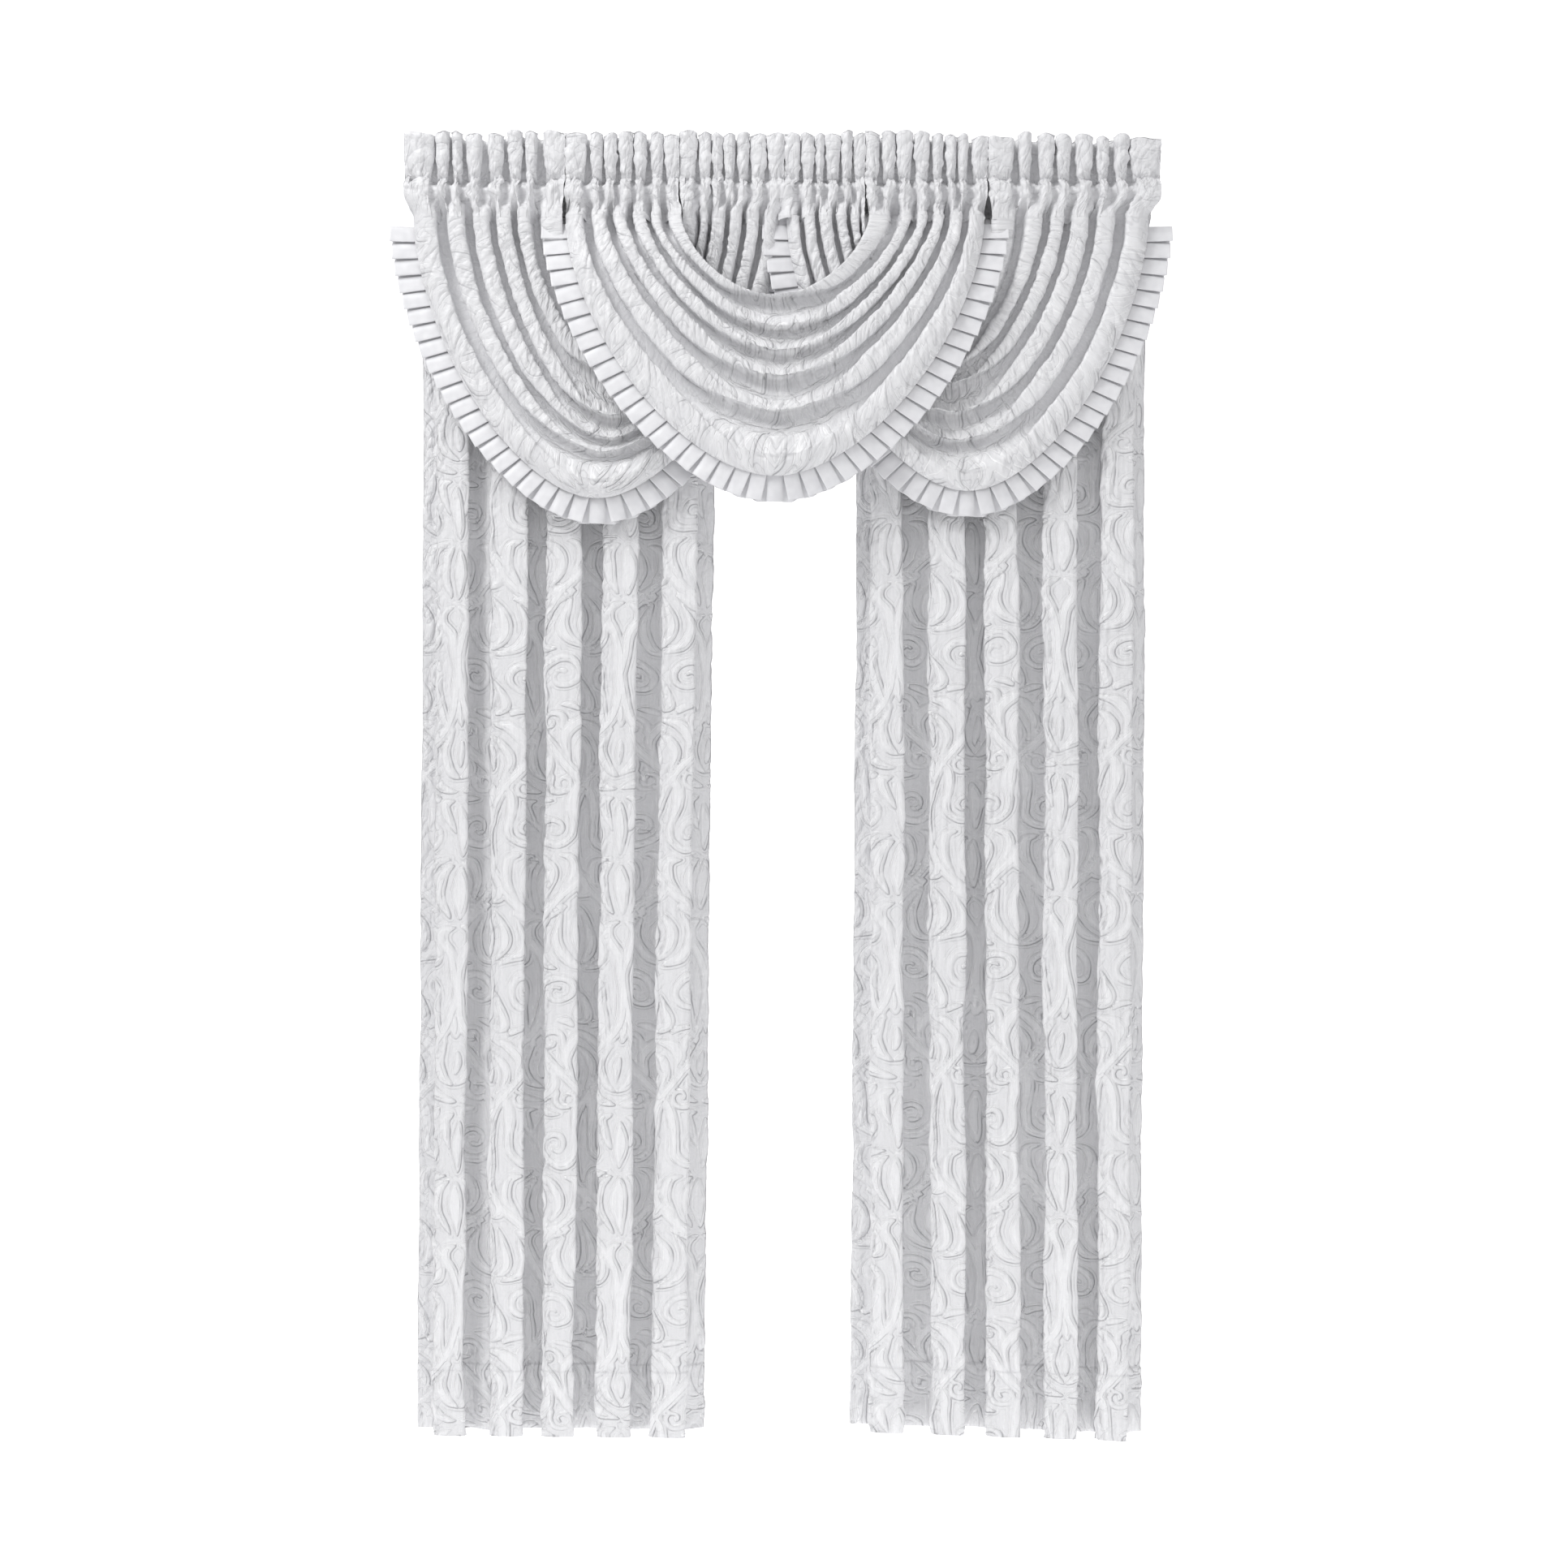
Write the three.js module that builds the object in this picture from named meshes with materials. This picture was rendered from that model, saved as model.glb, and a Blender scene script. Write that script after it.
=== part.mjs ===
// A window set in white damask: a pair of rod-pocket curtain panels behind a valance of three swags.
// Millimetres. +X is to the right, -Y towards the viewer and +Z up.
// The origin is the middle of the frilled top edge, from which everything hangs.
import * as THREE from "three";

const { clamp, lerp, smoothstep } = THREE.MathUtils;

// Cloth
const DAMASK = 2; // thickness of one layer of damask
const HEM_DAMASK = 3; // thickness where the panel's hem is turned up
const SEWN_PAIR = 3.2; // thickness of two layers sewn together
const SATIN = 1.4; // thickness of the pleated trim
const SEWN_GAP = 0.3; // gap left between pieces that are sewn to each other

// Headings: a frill, a pocket for a rod, and the stitching below it
const FRILL_HEIGHT = 75;
const POCKET_HEIGHT = 69;
const HEADING_HEIGHT = FRILL_HEIGHT + POCKET_HEIGHT;
const FRILL_FRONT = -14; // how far a frill's folds stand in front of the rod
const FRILL_FLANK = 2; // how far a fold's rounded sides reach in from its edges
const FRILL_RECESS = 5; // depth of the crease where two folds touch
const RECESS_PER_GAP = 1.1; // further depth for each millimetre that two folds stand apart
const RECESS_SINK = 3; // how much lower the cloth's edge lies in a crease
const STITCH_FRONT = -8; // folds and creases at the upper stitching
const STITCH_BACK = -3;
const POCKET_FRONT = -20;
const POCKET_BACK = 16;
const POCKET_CRUMPLE = 1.5; // how much the pocket's front follows the folds above it
const POCKET_SHOULDER = 9; // height over which the pocket closes to its stitching
const LOWER_CRUMPLE = 3; // how much the lower stitching follows the folds

// Each heading runs along its rod from `from`. `lean` is where its lower stitching hangs, `first` and
// `last` how far its ends droop. A fold is `wide`, stands `gap` from the next and lies `low` at its top.
const HEADINGS = [
  {
    name: "swag_left_outer_heading", from: -616, lean: -6, first: 17, last: 12,
    folds: [
      { wide: 49, gap: 2, low: 5 }, { wide: 22, gap: 5, low: 1 }, { wide: 16, gap: 7, low: 1 },
      { wide: 25, gap: 11, low: 5 }, { wide: 24, gap: 8, low: 5 }, { wide: 23, gap: 5, low: 0 },
      { wide: 19, gap: 11, low: 1 }, { wide: 35, gap: 0, low: 2 },
    ],
  },
  {
    name: "swag_centre_left_heading", from: -353.6, lean: -20, first: 19, last: 9,
    folds: [
      { wide: 34, gap: 7, low: 4 }, { wide: 20, gap: 2, low: 3 }, { wide: 21, gap: 4, low: 5 },
      { wide: 22, gap: 2, low: 2 }, { wide: 20, gap: 7, low: 2 }, { wide: 21, gap: 2, low: 3 },
      { wide: 24, gap: 0, low: 7 },
    ],
  },
  {
    name: "swag_left_inner_heading", from: -167.2, lean: -2, first: 6, last: 9,
    folds: [
      { wide: 28, gap: 3, low: 1 }, { wide: 20, gap: 2, low: 3 }, { wide: 17, gap: 2, low: 6 },
      { wide: 18, gap: 4, low: 5 }, { wide: 19, gap: 2, low: 4 }, { wide: 26, gap: 2, low: 6 },
      { wide: 28, gap: 0, low: 5 },
    ],
  },
  {
    name: "swag_right_inner_heading", from: 4.2, lean: -16, first: 12, last: 7,
    folds: [
      { wide: 25, gap: 2, low: 6 }, { wide: 21, gap: 2, low: 5 }, { wide: 14, gap: 2, low: 5 },
      { wide: 24, gap: 2, low: 6 }, { wide: 18, gap: 2, low: 0 }, { wide: 19, gap: 0, low: 5 },
    ],
  },
  {
    name: "swag_centre_right_heading", from: 135.6, lean: -20, first: 6, last: 16,
    folds: [
      { wide: 22, gap: 5, low: 2 }, { wide: 22, gap: 2, low: 1 }, { wide: 25, gap: 4, low: 1 },
      { wide: 24, gap: 5, low: 3 }, { wide: 17, gap: 5, low: 5 }, { wide: 17, gap: 2, low: 7 },
      { wide: 17, gap: 7, low: 7 }, { wide: 25, gap: 0, low: 10 },
    ],
  },
  {
    name: "swag_right_outer_heading", from: 335, lean: -6, first: 18, last: 19,
    folds: [
      { wide: 42, gap: 8, low: 11 }, { wide: 21, gap: 11, low: 3 }, { wide: 26, gap: 4, low: 5 },
      { wide: 23, gap: 8, low: 7 }, { wide: 28, gap: 7, low: 7 }, { wide: 19, gap: 9, low: 10 },
      { wide: 23, gap: 2, low: 7 }, { wide: 50, gap: 0, low: 12 },
    ],
  },
];

// The panels' headings, hidden behind the valance: with their gaps the frills fill a panel's top edge.
const PANEL_FRILLS = [
  { wide: 40, low: 2 }, { wide: 35, low: 0 }, { wide: 39, low: 4 }, { wide: 33, low: 1 },
  { wide: 42, low: 3 }, { wide: 38, low: 0 }, { wide: 34, low: 5 }, { wide: 41, low: 2 },
  { wide: 36, low: 4 }, { wide: 39, low: 1 }, { wide: 36, low: 3 },
];
const PANEL_FRILL_GAP = 7;
const PANEL_FRILL_DROOP = 6;

// Swags: cloth gathered at both ends, its folds falling in nested bows between two headings
const SWAG_TOP = -HEADING_HEIGHT - SEWN_GAP;
const BOW_STEPS = 17; // steps along each bow
const ROW_STEPS = 2; // steps from a ridge to the next hollow
const FOLD_AT_HEADING = 4; // depth of the folds either side of their middle
const FOLD_AT_BOTTOM = 8;
const LEAVE_HEADING = 0.25; // share of the fall in which cloth leaves its heading's depth
const NEAR_BOTTOM = 0.5; // share of the fall from which it takes its depth at the bottom

// A swag's rows are ridges and hollows by turns, from its slack top edge to its seam with the trim.
// `left` and `right` are their places on the headings, `low` the bottom of the bow and `round` its
// shape: 1 would be straight sides and 2 an ellipse. On each side `depth` and `fold` give the cloth's
// distance behind the rod and the depth of its folds.
const SWAGS = [
  {
    name: "left",
    leftSide: { head: -6, depth: -4, fold: 13 },
    rightSide: { head: -2, depth: 4, fold: 9 },
    bottom: -4,
    rows: [
      { left: -357, right: -162, low: -364, round: 1.7 },
      { left: -403, right: -136, low: -377, round: 1.6 },
      { left: -419, right: -127, low: -391, round: 1.6 },
      { left: -436, right: -118, low: -436, round: 1.55 },
      { left: -453, right: -103, low: -466, round: 1.55 },
      { left: -471, right: -89, low: -484, round: 1.55 },
      { left: -489, right: -75, low: -501, round: 1.6 },
      { left: -510, right: -62, low: -512, round: 1.6 },
      { left: -531, right: -48, low: -523, round: 1.6 },
      { left: -553, right: -34, low: -541, round: 1.65 },
      { left: -578, right: -20, low: -570, round: 1.65 },
      { left: -601, right: -4, low: -597, round: 1.65 },
    ],
  },
  {
    name: "centre",
    leftSide: { head: -20, depth: -46, fold: 12 },
    rightSide: { head: -20, depth: -46, fold: 12 },
    bottom: -46,
    rows: [
      { left: -163, right: 140, low: -279, round: 1.7 },
      { left: -192, right: 184, low: -306, round: 1.55 },
      { left: -205, right: 199, low: -331, round: 1.5 },
      { left: -217, right: 214, low: -350, round: 1.5 },
      { left: -232, right: 227, low: -370, round: 1.45 },
      { left: -248, right: 240, low: -390, round: 1.45 },
      { left: -264, right: 253, low: -411, round: 1.45 },
      { left: -280, right: 267, low: -441, round: 1.45 },
      { left: -298, right: 281, low: -467, round: 1.5 },
      { left: -315, right: 297, low: -496, round: 1.55 },
      { left: -334, right: 312, low: -537, round: 1.6 },
      { left: -352, right: 328, low: -567, round: 1.65 },
    ],
  },
  {
    name: "right",
    leftSide: { head: -16, depth: -18, fold: 9 },
    rightSide: { head: -6, depth: -4, fold: 13 },
    bottom: -4,
    rows: [
      { left: 133, right: 340, low: -364, round: 1.7 },
      { left: 126, right: 388, low: -375, round: 1.6 },
      { left: 118, right: 408, low: -386, round: 1.6 },
      { left: 107, right: 430, low: -399, round: 1.55 },
      { left: 96, right: 448, low: -413, round: 1.55 },
      { left: 84, right: 464, low: -438, round: 1.55 },
      { left: 70, right: 484, low: -461, round: 1.6 },
      { left: 56, right: 505, low: -483, round: 1.6 },
      { left: 44, right: 526, low: -506, round: 1.6 },
      { left: 31, right: 549, low: -526, round: 1.65 },
      { left: 19, right: 574, low: -555, round: 1.65 },
      { left: 7, right: 597, low: -585, round: 1.65 },
    ],
  },
];

// Trim: a knife-pleated strip sewn along each swag's lower edge
const TRIM_DEPTH = 41;
const TRIM_START = 8; // how far below the heading the strip begins
const TRIM_LAP = 4; // how far the strip reaches in behind the swag's edge
const TRIM_BEHIND = 2.6; // its distance behind the middle of that edge
const PLEAT_PITCH = 27;
const PLEAT_STEP = 4; // how far a pleat's edge stands over the next pleat
const PLEAT_EDGE = 0.6; // width of that step
const SEAM_POINTS = 60; // points that follow the swag's edge

// Panels: five flat-fronted folds each, tucked in behind, with edge strips at the back
const PANEL_LENGTH = 2134;
const PANEL_TOP = -4; // below the frills of the valance
const PANEL_ROD_BACK = POCKET_BACK - POCKET_FRONT + POCKET_CRUMPLE + SEWN_GAP; // headings back to back
const FOLD_FRONT = -14; // flat fronts and hollows, from the panels' rod
const FOLD_BACK = 34;
const FOLD_TUCK = 8; // how far a fold's sides slant in behind its front
const FOLD_SPLAY = 4; // how far its sides spread again as they meet the hollow
const FOLD_SHOULDER = 27; // where that spread begins
const FOLD_EDGE = -5.6; // where the side turns into the rounded edge
const FOLD_BEND = [4.2, -12.2]; // the middle of the rounded edge, inward and from the rod
const FOLD_ROUND = 12; // how far the rounded edge reaches in across the front
const PANEL_GATHERED = 0.25; // share of the folds' depth just below the heading
const FOLDS_OPEN = -440; // height at which they have their whole depth
const FOLDS_SEEN = -640; // heights at which the two sets of fold edges were taken
const FOLDS_LOW = -2100;
const HEM_HEIGHT = 107;
const HEM_STEP = 1.5; // height over which the cloth thickens at the hem's top
const PANEL_ROWS = [-300, FOLDS_OPEN, -800, -1250, -1700];

// `top` and `foot` are the left and right edges of a fold's front, high up and near the hem.
// `ends` are the panel's side edges and `hem` the drop of its two bottom corners past its length.
const PANELS = [
  {
    name: "left",
    ends: { top: [-599, -116], foot: [-610, -132] },
    hem: [-2, 2],
    folds: [
      { top: [-571, -517], foot: [-575, -526] },
      { top: [-481, -420], foot: [-483, -429] },
      { top: [-390, -330], foot: [-396, -345] },
      { top: [-298, -239], foot: [-306, -252] },
      { top: [-199, -141], foot: [-215, -160] },
    ],
  },
  {
    name: "right",
    ends: { top: [123, 606], foot: [113, 599] },
    hem: [-8, 8],
    folds: [
      { top: [145, 199], foot: [144, 199] },
      { top: [242, 302], foot: [245, 299] },
      { top: [333, 388], foot: [337, 392] },
      { top: [431, 485], foot: [433, 485] },
      { top: [526, 579], foot: [518, 569] },
    ],
  },
];

const damaskCloth = new THREE.MeshStandardMaterial({ color: 0xe9eaec, roughness: 0.85, metalness: 0 });
const satinCloth = new THREE.MeshStandardMaterial({ color: 0xeff0f1, roughness: 0.5, metalness: 0 });

function geometryFrom(positions, faces) {
  const geometry = new THREE.BufferGeometry();
  geometry.setAttribute("position", new THREE.Float32BufferAttribute(positions, 3));
  geometry.setIndex(faces);
  geometry.computeVertexNormals();
  return geometry;
}

// The direction of a line of points at one of them, as the mean of its two neighbouring stretches.
function directionAt(before, here, after) {
  const arriving = here.clone().sub(before).normalize();
  const leaving = after.clone().sub(here).normalize();
  return arriving.add(leaving);
}

// Gives a grid of points, the middle of a sheet of cloth, its thickness row by row and closes its rim.
// Under a heading the edge is kept level.
function sheet(grid, thicknessOf) {
  const rows = grid.length;
  const columns = grid[0].length;
  const positions = [];
  const id = (back, row, column) => (back * rows + row) * columns + column;
  for (const side of [0.5, -0.5])
    grid.forEach((line, row) =>
      line.forEach((point, column) => {
        const before = line[Math.max(column - 1, 0)];
        const after = line[Math.min(column + 1, columns - 1)];
        const above = grid[Math.max(row - 1, 0)][column];
        const below = grid[Math.min(row + 1, rows - 1)][column];
        const facing = directionAt(before, point, after).cross(directionAt(above, point, below));
        if (point.z > SWAG_TOP - SEWN_GAP) facing.z = 0;
        const place = facing.setLength(side * thicknessOf(row)).add(point);
        positions.push(place.x, place.y, place.z);
      }),
    );

  const faces = [];
  for (let row = 0; row < rows - 1; row++)
    for (let column = 0; column < columns - 1; column++)
      for (const back of [0, 1]) {
        const a = id(back, row, column);
        const b = id(back, row, column + 1);
        const c = id(back, row + 1, column + 1);
        const d = id(back, row + 1, column);
        if (back) faces.push(a, c, b, a, d, c);
        else faces.push(a, b, c, a, c, d);
      }

  const rim = [];
  for (let column = 0; column < columns - 1; column++) rim.push([0, column]);
  for (let row = 0; row < rows - 1; row++) rim.push([row, columns - 1]);
  for (let column = columns - 1; column > 0; column--) rim.push([rows - 1, column]);
  for (let row = rows - 1; row > 0; row--) rim.push([row, 0]);
  rim.forEach(([row, column], i) => {
    const [nextRow, nextColumn] = rim[(i + 1) % rim.length];
    const front = id(0, row, column);
    const back = id(1, row, column);
    const nextFront = id(0, nextRow, nextColumn);
    const nextBack = id(1, nextRow, nextColumn);
    faces.push(nextFront, front, back, nextFront, back, nextBack);
  });
  return geometryFrom(positions, faces);
}

// Joins sections that stand at several x, each an outer ring round an inner one, into an open tunnel.
function tunnel(sections) {
  const positions = [];
  const faces = [];
  const outerCount = sections[0].outer.length;
  const innerCount = sections[0].inner.length;
  const stride = outerCount + innerCount;
  for (const { x, outer, inner } of sections)
    for (const [y, z] of [...outer, ...inner]) positions.push(x, y, z);

  for (let i = 0; i < sections.length - 1; i++) {
    const here = i * stride;
    const next = here + stride;
    for (let k = 0; k < outerCount; k++) {
      const m = (k + 1) % outerCount;
      faces.push(here + k, here + m, next + m, here + k, next + m, next + k);
    }
    for (let k = 0; k < innerCount; k++) {
      const a = outerCount + k;
      const b = outerCount + ((k + 1) % innerCount);
      faces.push(here + a, next + b, here + b, here + a, next + a, next + b);
    }
  }

  const last = sections.length - 1;
  for (const i of [0, last]) {
    const contour = sections[i].outer.map(([y, z]) => new THREE.Vector2(y, z));
    const hole = sections[i].inner.map(([y, z]) => new THREE.Vector2(y, z));
    const ring = [...contour, ...hole];
    for (const [a, b, c] of THREE.ShapeUtils.triangulateShape(contour, [hole])) {
      const leftTurn = THREE.ShapeUtils.area([ring[a], ring[b], ring[c]]) > 0;
      const at = i * stride;
      if (leftTurn === (i === last)) faces.push(at + a, at + b, at + c);
      else faces.push(at + a, at + c, at + b);
    }
  }
  return geometryFrom(positions, faces);
}

// One upright cut through a heading. `recess` is how far it lies behind the front of the folds.
function headingSection(x, recess, low, lean) {
  const onFold = recess === 0;
  const half = SEWN_PAIR / 2;
  const frill = FRILL_FRONT + recess;
  const stitch = onFold ? STITCH_FRONT : STITCH_BACK;
  const front = POCKET_FRONT + (onFold ? -POCKET_CRUMPLE : POCKET_CRUMPLE);
  const bottom = lean + (onFold ? -LOWER_CRUMPLE : LOWER_CRUMPLE);
  const pocketTop = -FRILL_HEIGHT - POCKET_SHOULDER;
  const pocketFoot = -HEADING_HEIGHT + POCKET_SHOULDER;
  const outer = [
    [POCKET_BACK, pocketFoot],
    [POCKET_BACK, pocketTop],
    [stitch + half, -FRILL_HEIGHT],
    [frill + half, -low],
    [frill - half, -low],
    [stitch - half, -FRILL_HEIGHT],
    [front, pocketTop],
    [front, pocketFoot],
    [bottom - half, -HEADING_HEIGHT],
    [bottom + half, -HEADING_HEIGHT],
  ];
  const inner = [
    [front + DAMASK, pocketTop - DAMASK],
    [front + DAMASK, pocketFoot + DAMASK],
    [POCKET_BACK - DAMASK, pocketFoot + DAMASK],
    [POCKET_BACK - DAMASK, pocketTop - DAMASK],
  ];
  return { x, outer, inner };
}

function headingGeometry({ from, lean, first, last, folds }) {
  const sections = [headingSection(from, FRILL_RECESS, first, lean)];
  let x = from;
  folds.forEach(({ wide, gap, low }, i) => {
    const right = x + wide;
    sections.push(headingSection(x + FRILL_FLANK, 0, low, lean));
    sections.push(headingSection(right - FRILL_FLANK, 0, low, lean));
    x = right + gap;
    const next = folds[i + 1];
    if (!next) sections.push(headingSection(right, FRILL_RECESS, last, lean));
    else {
      const recess = FRILL_RECESS + gap * RECESS_PER_GAP;
      sections.push(headingSection(right + gap / 2, recess, Math.max(low, next.low) + RECESS_SINK, lean));
    }
  });
  return tunnel(sections);
}

// How far a row stands towards the viewer: 1 on a ridge, -1 in a hollow, 0 at the seam.
function foldHeight(place, lastRow) {
  if (place > lastRow - 1) return Math.cos((Math.PI / 2) * (place - lastRow + 1));
  return Math.cos(Math.PI * place);
}

// A point of a swag's cloth. `place` counts its rows from the slack edge, `turn` goes from 0 to PI.
function swagPoint(swag, place, turn) {
  const lastRow = swag.rows.length - 1;
  const row = Math.min(Math.floor(place), lastRow - 1);
  const share = place - row;
  const between = (key) => lerp(swag.rows[row][key], swag.rows[row + 1][key], share);
  const middle = (between("left") + between("right")) / 2;
  const halfWidth = (between("right") - between("left")) / 2;
  const power = 2 / between("round");
  const cosine = Math.cos(turn);
  const x = middle - halfWidth * Math.sign(cosine) * Math.abs(cosine) ** power;
  const z = SWAG_TOP + (between("low") - SWAG_TOP) * Math.abs(Math.sin(turn)) ** power;

  const side = cosine > 0 ? swag.leftSide : swag.rightSide;
  const fall = Math.min(turn, Math.PI - turn) / (Math.PI / 2);
  const left = smoothstep(fall, 0, LEAVE_HEADING);
  const down = smoothstep(fall, NEAR_BOTTOM, 1);
  const depth = lerp(lerp(side.head, side.depth, left), swag.bottom, down);
  const fold = lerp(lerp(FOLD_AT_HEADING, side.fold, left), FOLD_AT_BOTTOM, down);
  return new THREE.Vector3(x, depth - fold * foldHeight(place, lastRow), z);
}

function swagLine(swag, place) {
  const line = [];
  for (let k = 0; k <= BOW_STEPS; k++) line.push(swagPoint(swag, place, (Math.PI * k) / BOW_STEPS));
  return line;
}

function swagGeometry(swag) {
  const grid = [];
  const lastStep = (swag.rows.length - 1) * ROW_STEPS;
  for (let i = 0; i <= lastStep; i++) grid.push(swagLine(swag, i / ROW_STEPS));
  return sheet(grid, () => DAMASK);
}

// A point on the straight steps of a swag's lower edge.
function facetedEdge(swag, turn) {
  const edge = swagLine(swag, swag.rows.length - 1);
  const place = (turn / Math.PI) * BOW_STEPS;
  const step = Math.floor(place);
  return edge[step].lerp(edge[step + 1], place - step);
}

// The pleats are sewn behind the swag's edge and lie like shingles, each one's far edge over the next.
function trimGeometry(swag) {
  const lastRow = swag.rows.length - 1;
  const { low, round } = swag.rows[lastRow];
  const start = Math.asin((TRIM_START / (SWAG_TOP - low)) ** (round / 2));
  const points = [];
  for (let i = 0; i <= SEAM_POINTS; i++)
    points.push(swagPoint(swag, lastRow, lerp(start, Math.PI - start, i / SEAM_POINTS)));
  const seam = new THREE.CatmullRomCurve3(points);
  const pleats = Math.round(seam.getLength() / PLEAT_PITCH);
  const inner = [];
  const outer = [];
  const addColumn = (along, behind) => {
    const part = seam.getUtoTmapping(along);
    const point = facetedEdge(swag, lerp(start, Math.PI - start, part));
    const heading = seam.getTangent(part);
    const outward = new THREE.Vector3(heading.z, 0, -heading.x).normalize();
    point.y += behind;
    inner.push(point.clone().addScaledVector(outward, -TRIM_LAP));
    outer.push(point.addScaledVector(outward, TRIM_DEPTH));
  };
  for (let i = 0; i < pleats; i++) {
    addColumn((i + PLEAT_EDGE / PLEAT_PITCH) / pleats, TRIM_BEHIND + PLEAT_STEP);
    addColumn((i + 1) / pleats, TRIM_BEHIND);
  }
  return sheet([inner, outer], () => SATIN);
}

// The cut across a panel at one height, as points from its left edge to its right one.
function panelLine(panel, z, hemDrop) {
  const down = clamp((FOLDS_SEEN - z) / (FOLDS_SEEN - FOLDS_LOW), 0, 1);
  const at = (edges, side) => lerp(edges.top[side], edges.foot[side], down);
  const open = lerp(1, PANEL_GATHERED, smoothstep(z, FOLDS_OPEN, SWAG_TOP));
  const leftEnd = at(panel.ends, 0);
  const rightEnd = at(panel.ends, 1);
  const line = [[leftEnd, FOLD_BACK]];
  for (const fold of panel.folds) {
    const half = [
      [-FOLD_SPLAY, FOLD_BACK],
      [FOLD_TUCK, FOLD_SHOULDER],
      [0, FOLD_EDGE],
      FOLD_BEND,
      [FOLD_ROUND, FOLD_FRONT],
    ];
    for (const [inward, y] of half) line.push([at(fold, 0) + inward, y]);
    for (const [inward, y] of half.reverse()) line.push([at(fold, 1) - inward, y]);
  }
  line.push([rightEnd, FOLD_BACK]);
  return line.map(([x, y]) => {
    const share = (x - leftEnd) / (rightEnd - leftEnd);
    return new THREE.Vector3(x, y * open, z - hemDrop * lerp(panel.hem[0], panel.hem[1], share));
  });
}

function panelGeometry(panel) {
  const hemTop = HEM_HEIGHT - PANEL_LENGTH;
  const grid = [SWAG_TOP, ...PANEL_ROWS].map((z) => panelLine(panel, z, 0));
  const hemRow = grid.length + 1;
  for (const z of [hemTop, hemTop - HEM_STEP, -PANEL_LENGTH]) grid.push(panelLine(panel, z, 1));
  return sheet(grid, (row) => (row < hemRow ? DAMASK : HEM_DAMASK));
}

function panelHeadingGeometry(panel) {
  const folds = PANEL_FRILLS.map((frill) => ({ ...frill, gap: PANEL_FRILL_GAP }));
  const droop = { first: PANEL_FRILL_DROOP, last: PANEL_FRILL_DROOP };
  return headingGeometry({ from: panel.ends.top[0], lean: 0, ...droop, folds });
}

const windowSet = new THREE.Group();
const valance = new THREE.Group();
const panels = new THREE.Group();
panels.position.set(0, PANEL_ROD_BACK, PANEL_TOP);
windowSet.add(valance, panels);

function add(group, name, geometry, material) {
  const mesh = new THREE.Mesh(geometry, material);
  mesh.name = name;
  group.add(mesh);
}

HEADINGS.forEach((heading) => add(valance, heading.name, headingGeometry(heading), damaskCloth));
SWAGS.forEach((swag) => {
  add(valance, `swag_${swag.name}`, swagGeometry(swag), damaskCloth);
  add(valance, `trim_${swag.name}`, trimGeometry(swag), satinCloth);
});

PANELS.forEach((panel) => {
  add(panels, `panel_${panel.name}`, panelGeometry(panel), damaskCloth);
  add(panels, `panel_${panel.name}_heading`, panelHeadingGeometry(panel), damaskCloth);
});

export default windowSet;
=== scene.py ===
# A white damask window set: a pair of rod-pocket curtain panels behind a valance of three swags.
# Sizes are in millimetres in the frame's own axes: +X to the right, -Y towards the room and +Z up,
# from the middle of the frilled top edge. The cloth is turned into metres when its mesh is made.
import math
from functools import partial

import bpy
import numpy as np
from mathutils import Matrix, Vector


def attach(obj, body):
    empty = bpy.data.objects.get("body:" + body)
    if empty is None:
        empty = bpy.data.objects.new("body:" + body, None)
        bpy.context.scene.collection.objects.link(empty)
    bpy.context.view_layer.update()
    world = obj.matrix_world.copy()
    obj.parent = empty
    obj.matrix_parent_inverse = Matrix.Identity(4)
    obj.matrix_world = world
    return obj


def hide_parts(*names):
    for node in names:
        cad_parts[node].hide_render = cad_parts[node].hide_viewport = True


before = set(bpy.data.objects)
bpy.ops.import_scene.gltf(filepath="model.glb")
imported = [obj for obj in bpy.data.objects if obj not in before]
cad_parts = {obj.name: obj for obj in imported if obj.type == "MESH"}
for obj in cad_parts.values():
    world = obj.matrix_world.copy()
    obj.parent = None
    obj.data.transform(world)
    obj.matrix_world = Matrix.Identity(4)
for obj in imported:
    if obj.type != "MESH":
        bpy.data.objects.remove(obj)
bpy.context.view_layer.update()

MM = 0.001

# Headings: a frill, a rod pocket below it and a row of stitching under each
FRILL_HEIGHT = 75
POCKET_HEIGHT = 69
HEADING_HEIGHT = FRILL_HEIGHT + POCKET_HEIGHT
FRILL_FRONT = -14  # how far a frill's folds stand in front of the rod
FRILL_RECESS = 19  # depth of the crease where two folds touch
RECESS_PER_GAP = 1.3  # further depth for each millimetre that two folds stand apart
FRILL_OPEN = 2.2  # half the space between a frill's two layers
STITCH_FRONT = -8
STITCH_OPEN = 0.7
STITCH_RECESS = 0.7  # share of a crease's depth that is left where it is stitched
POCKET_FRONT = -19
POCKET_BACK = 15
FRILL_TUCK = 3.5  # how far a fold narrows behind its front
FRILL_PINCH = 0.15  # share of its width that a fold loses on each side at the stitching
SEAM_LAP = 1.05  # how far a pocket's front reaches down behind the swag, in pocket heights
COLUMNS_PER_FOLD = 26

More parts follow.
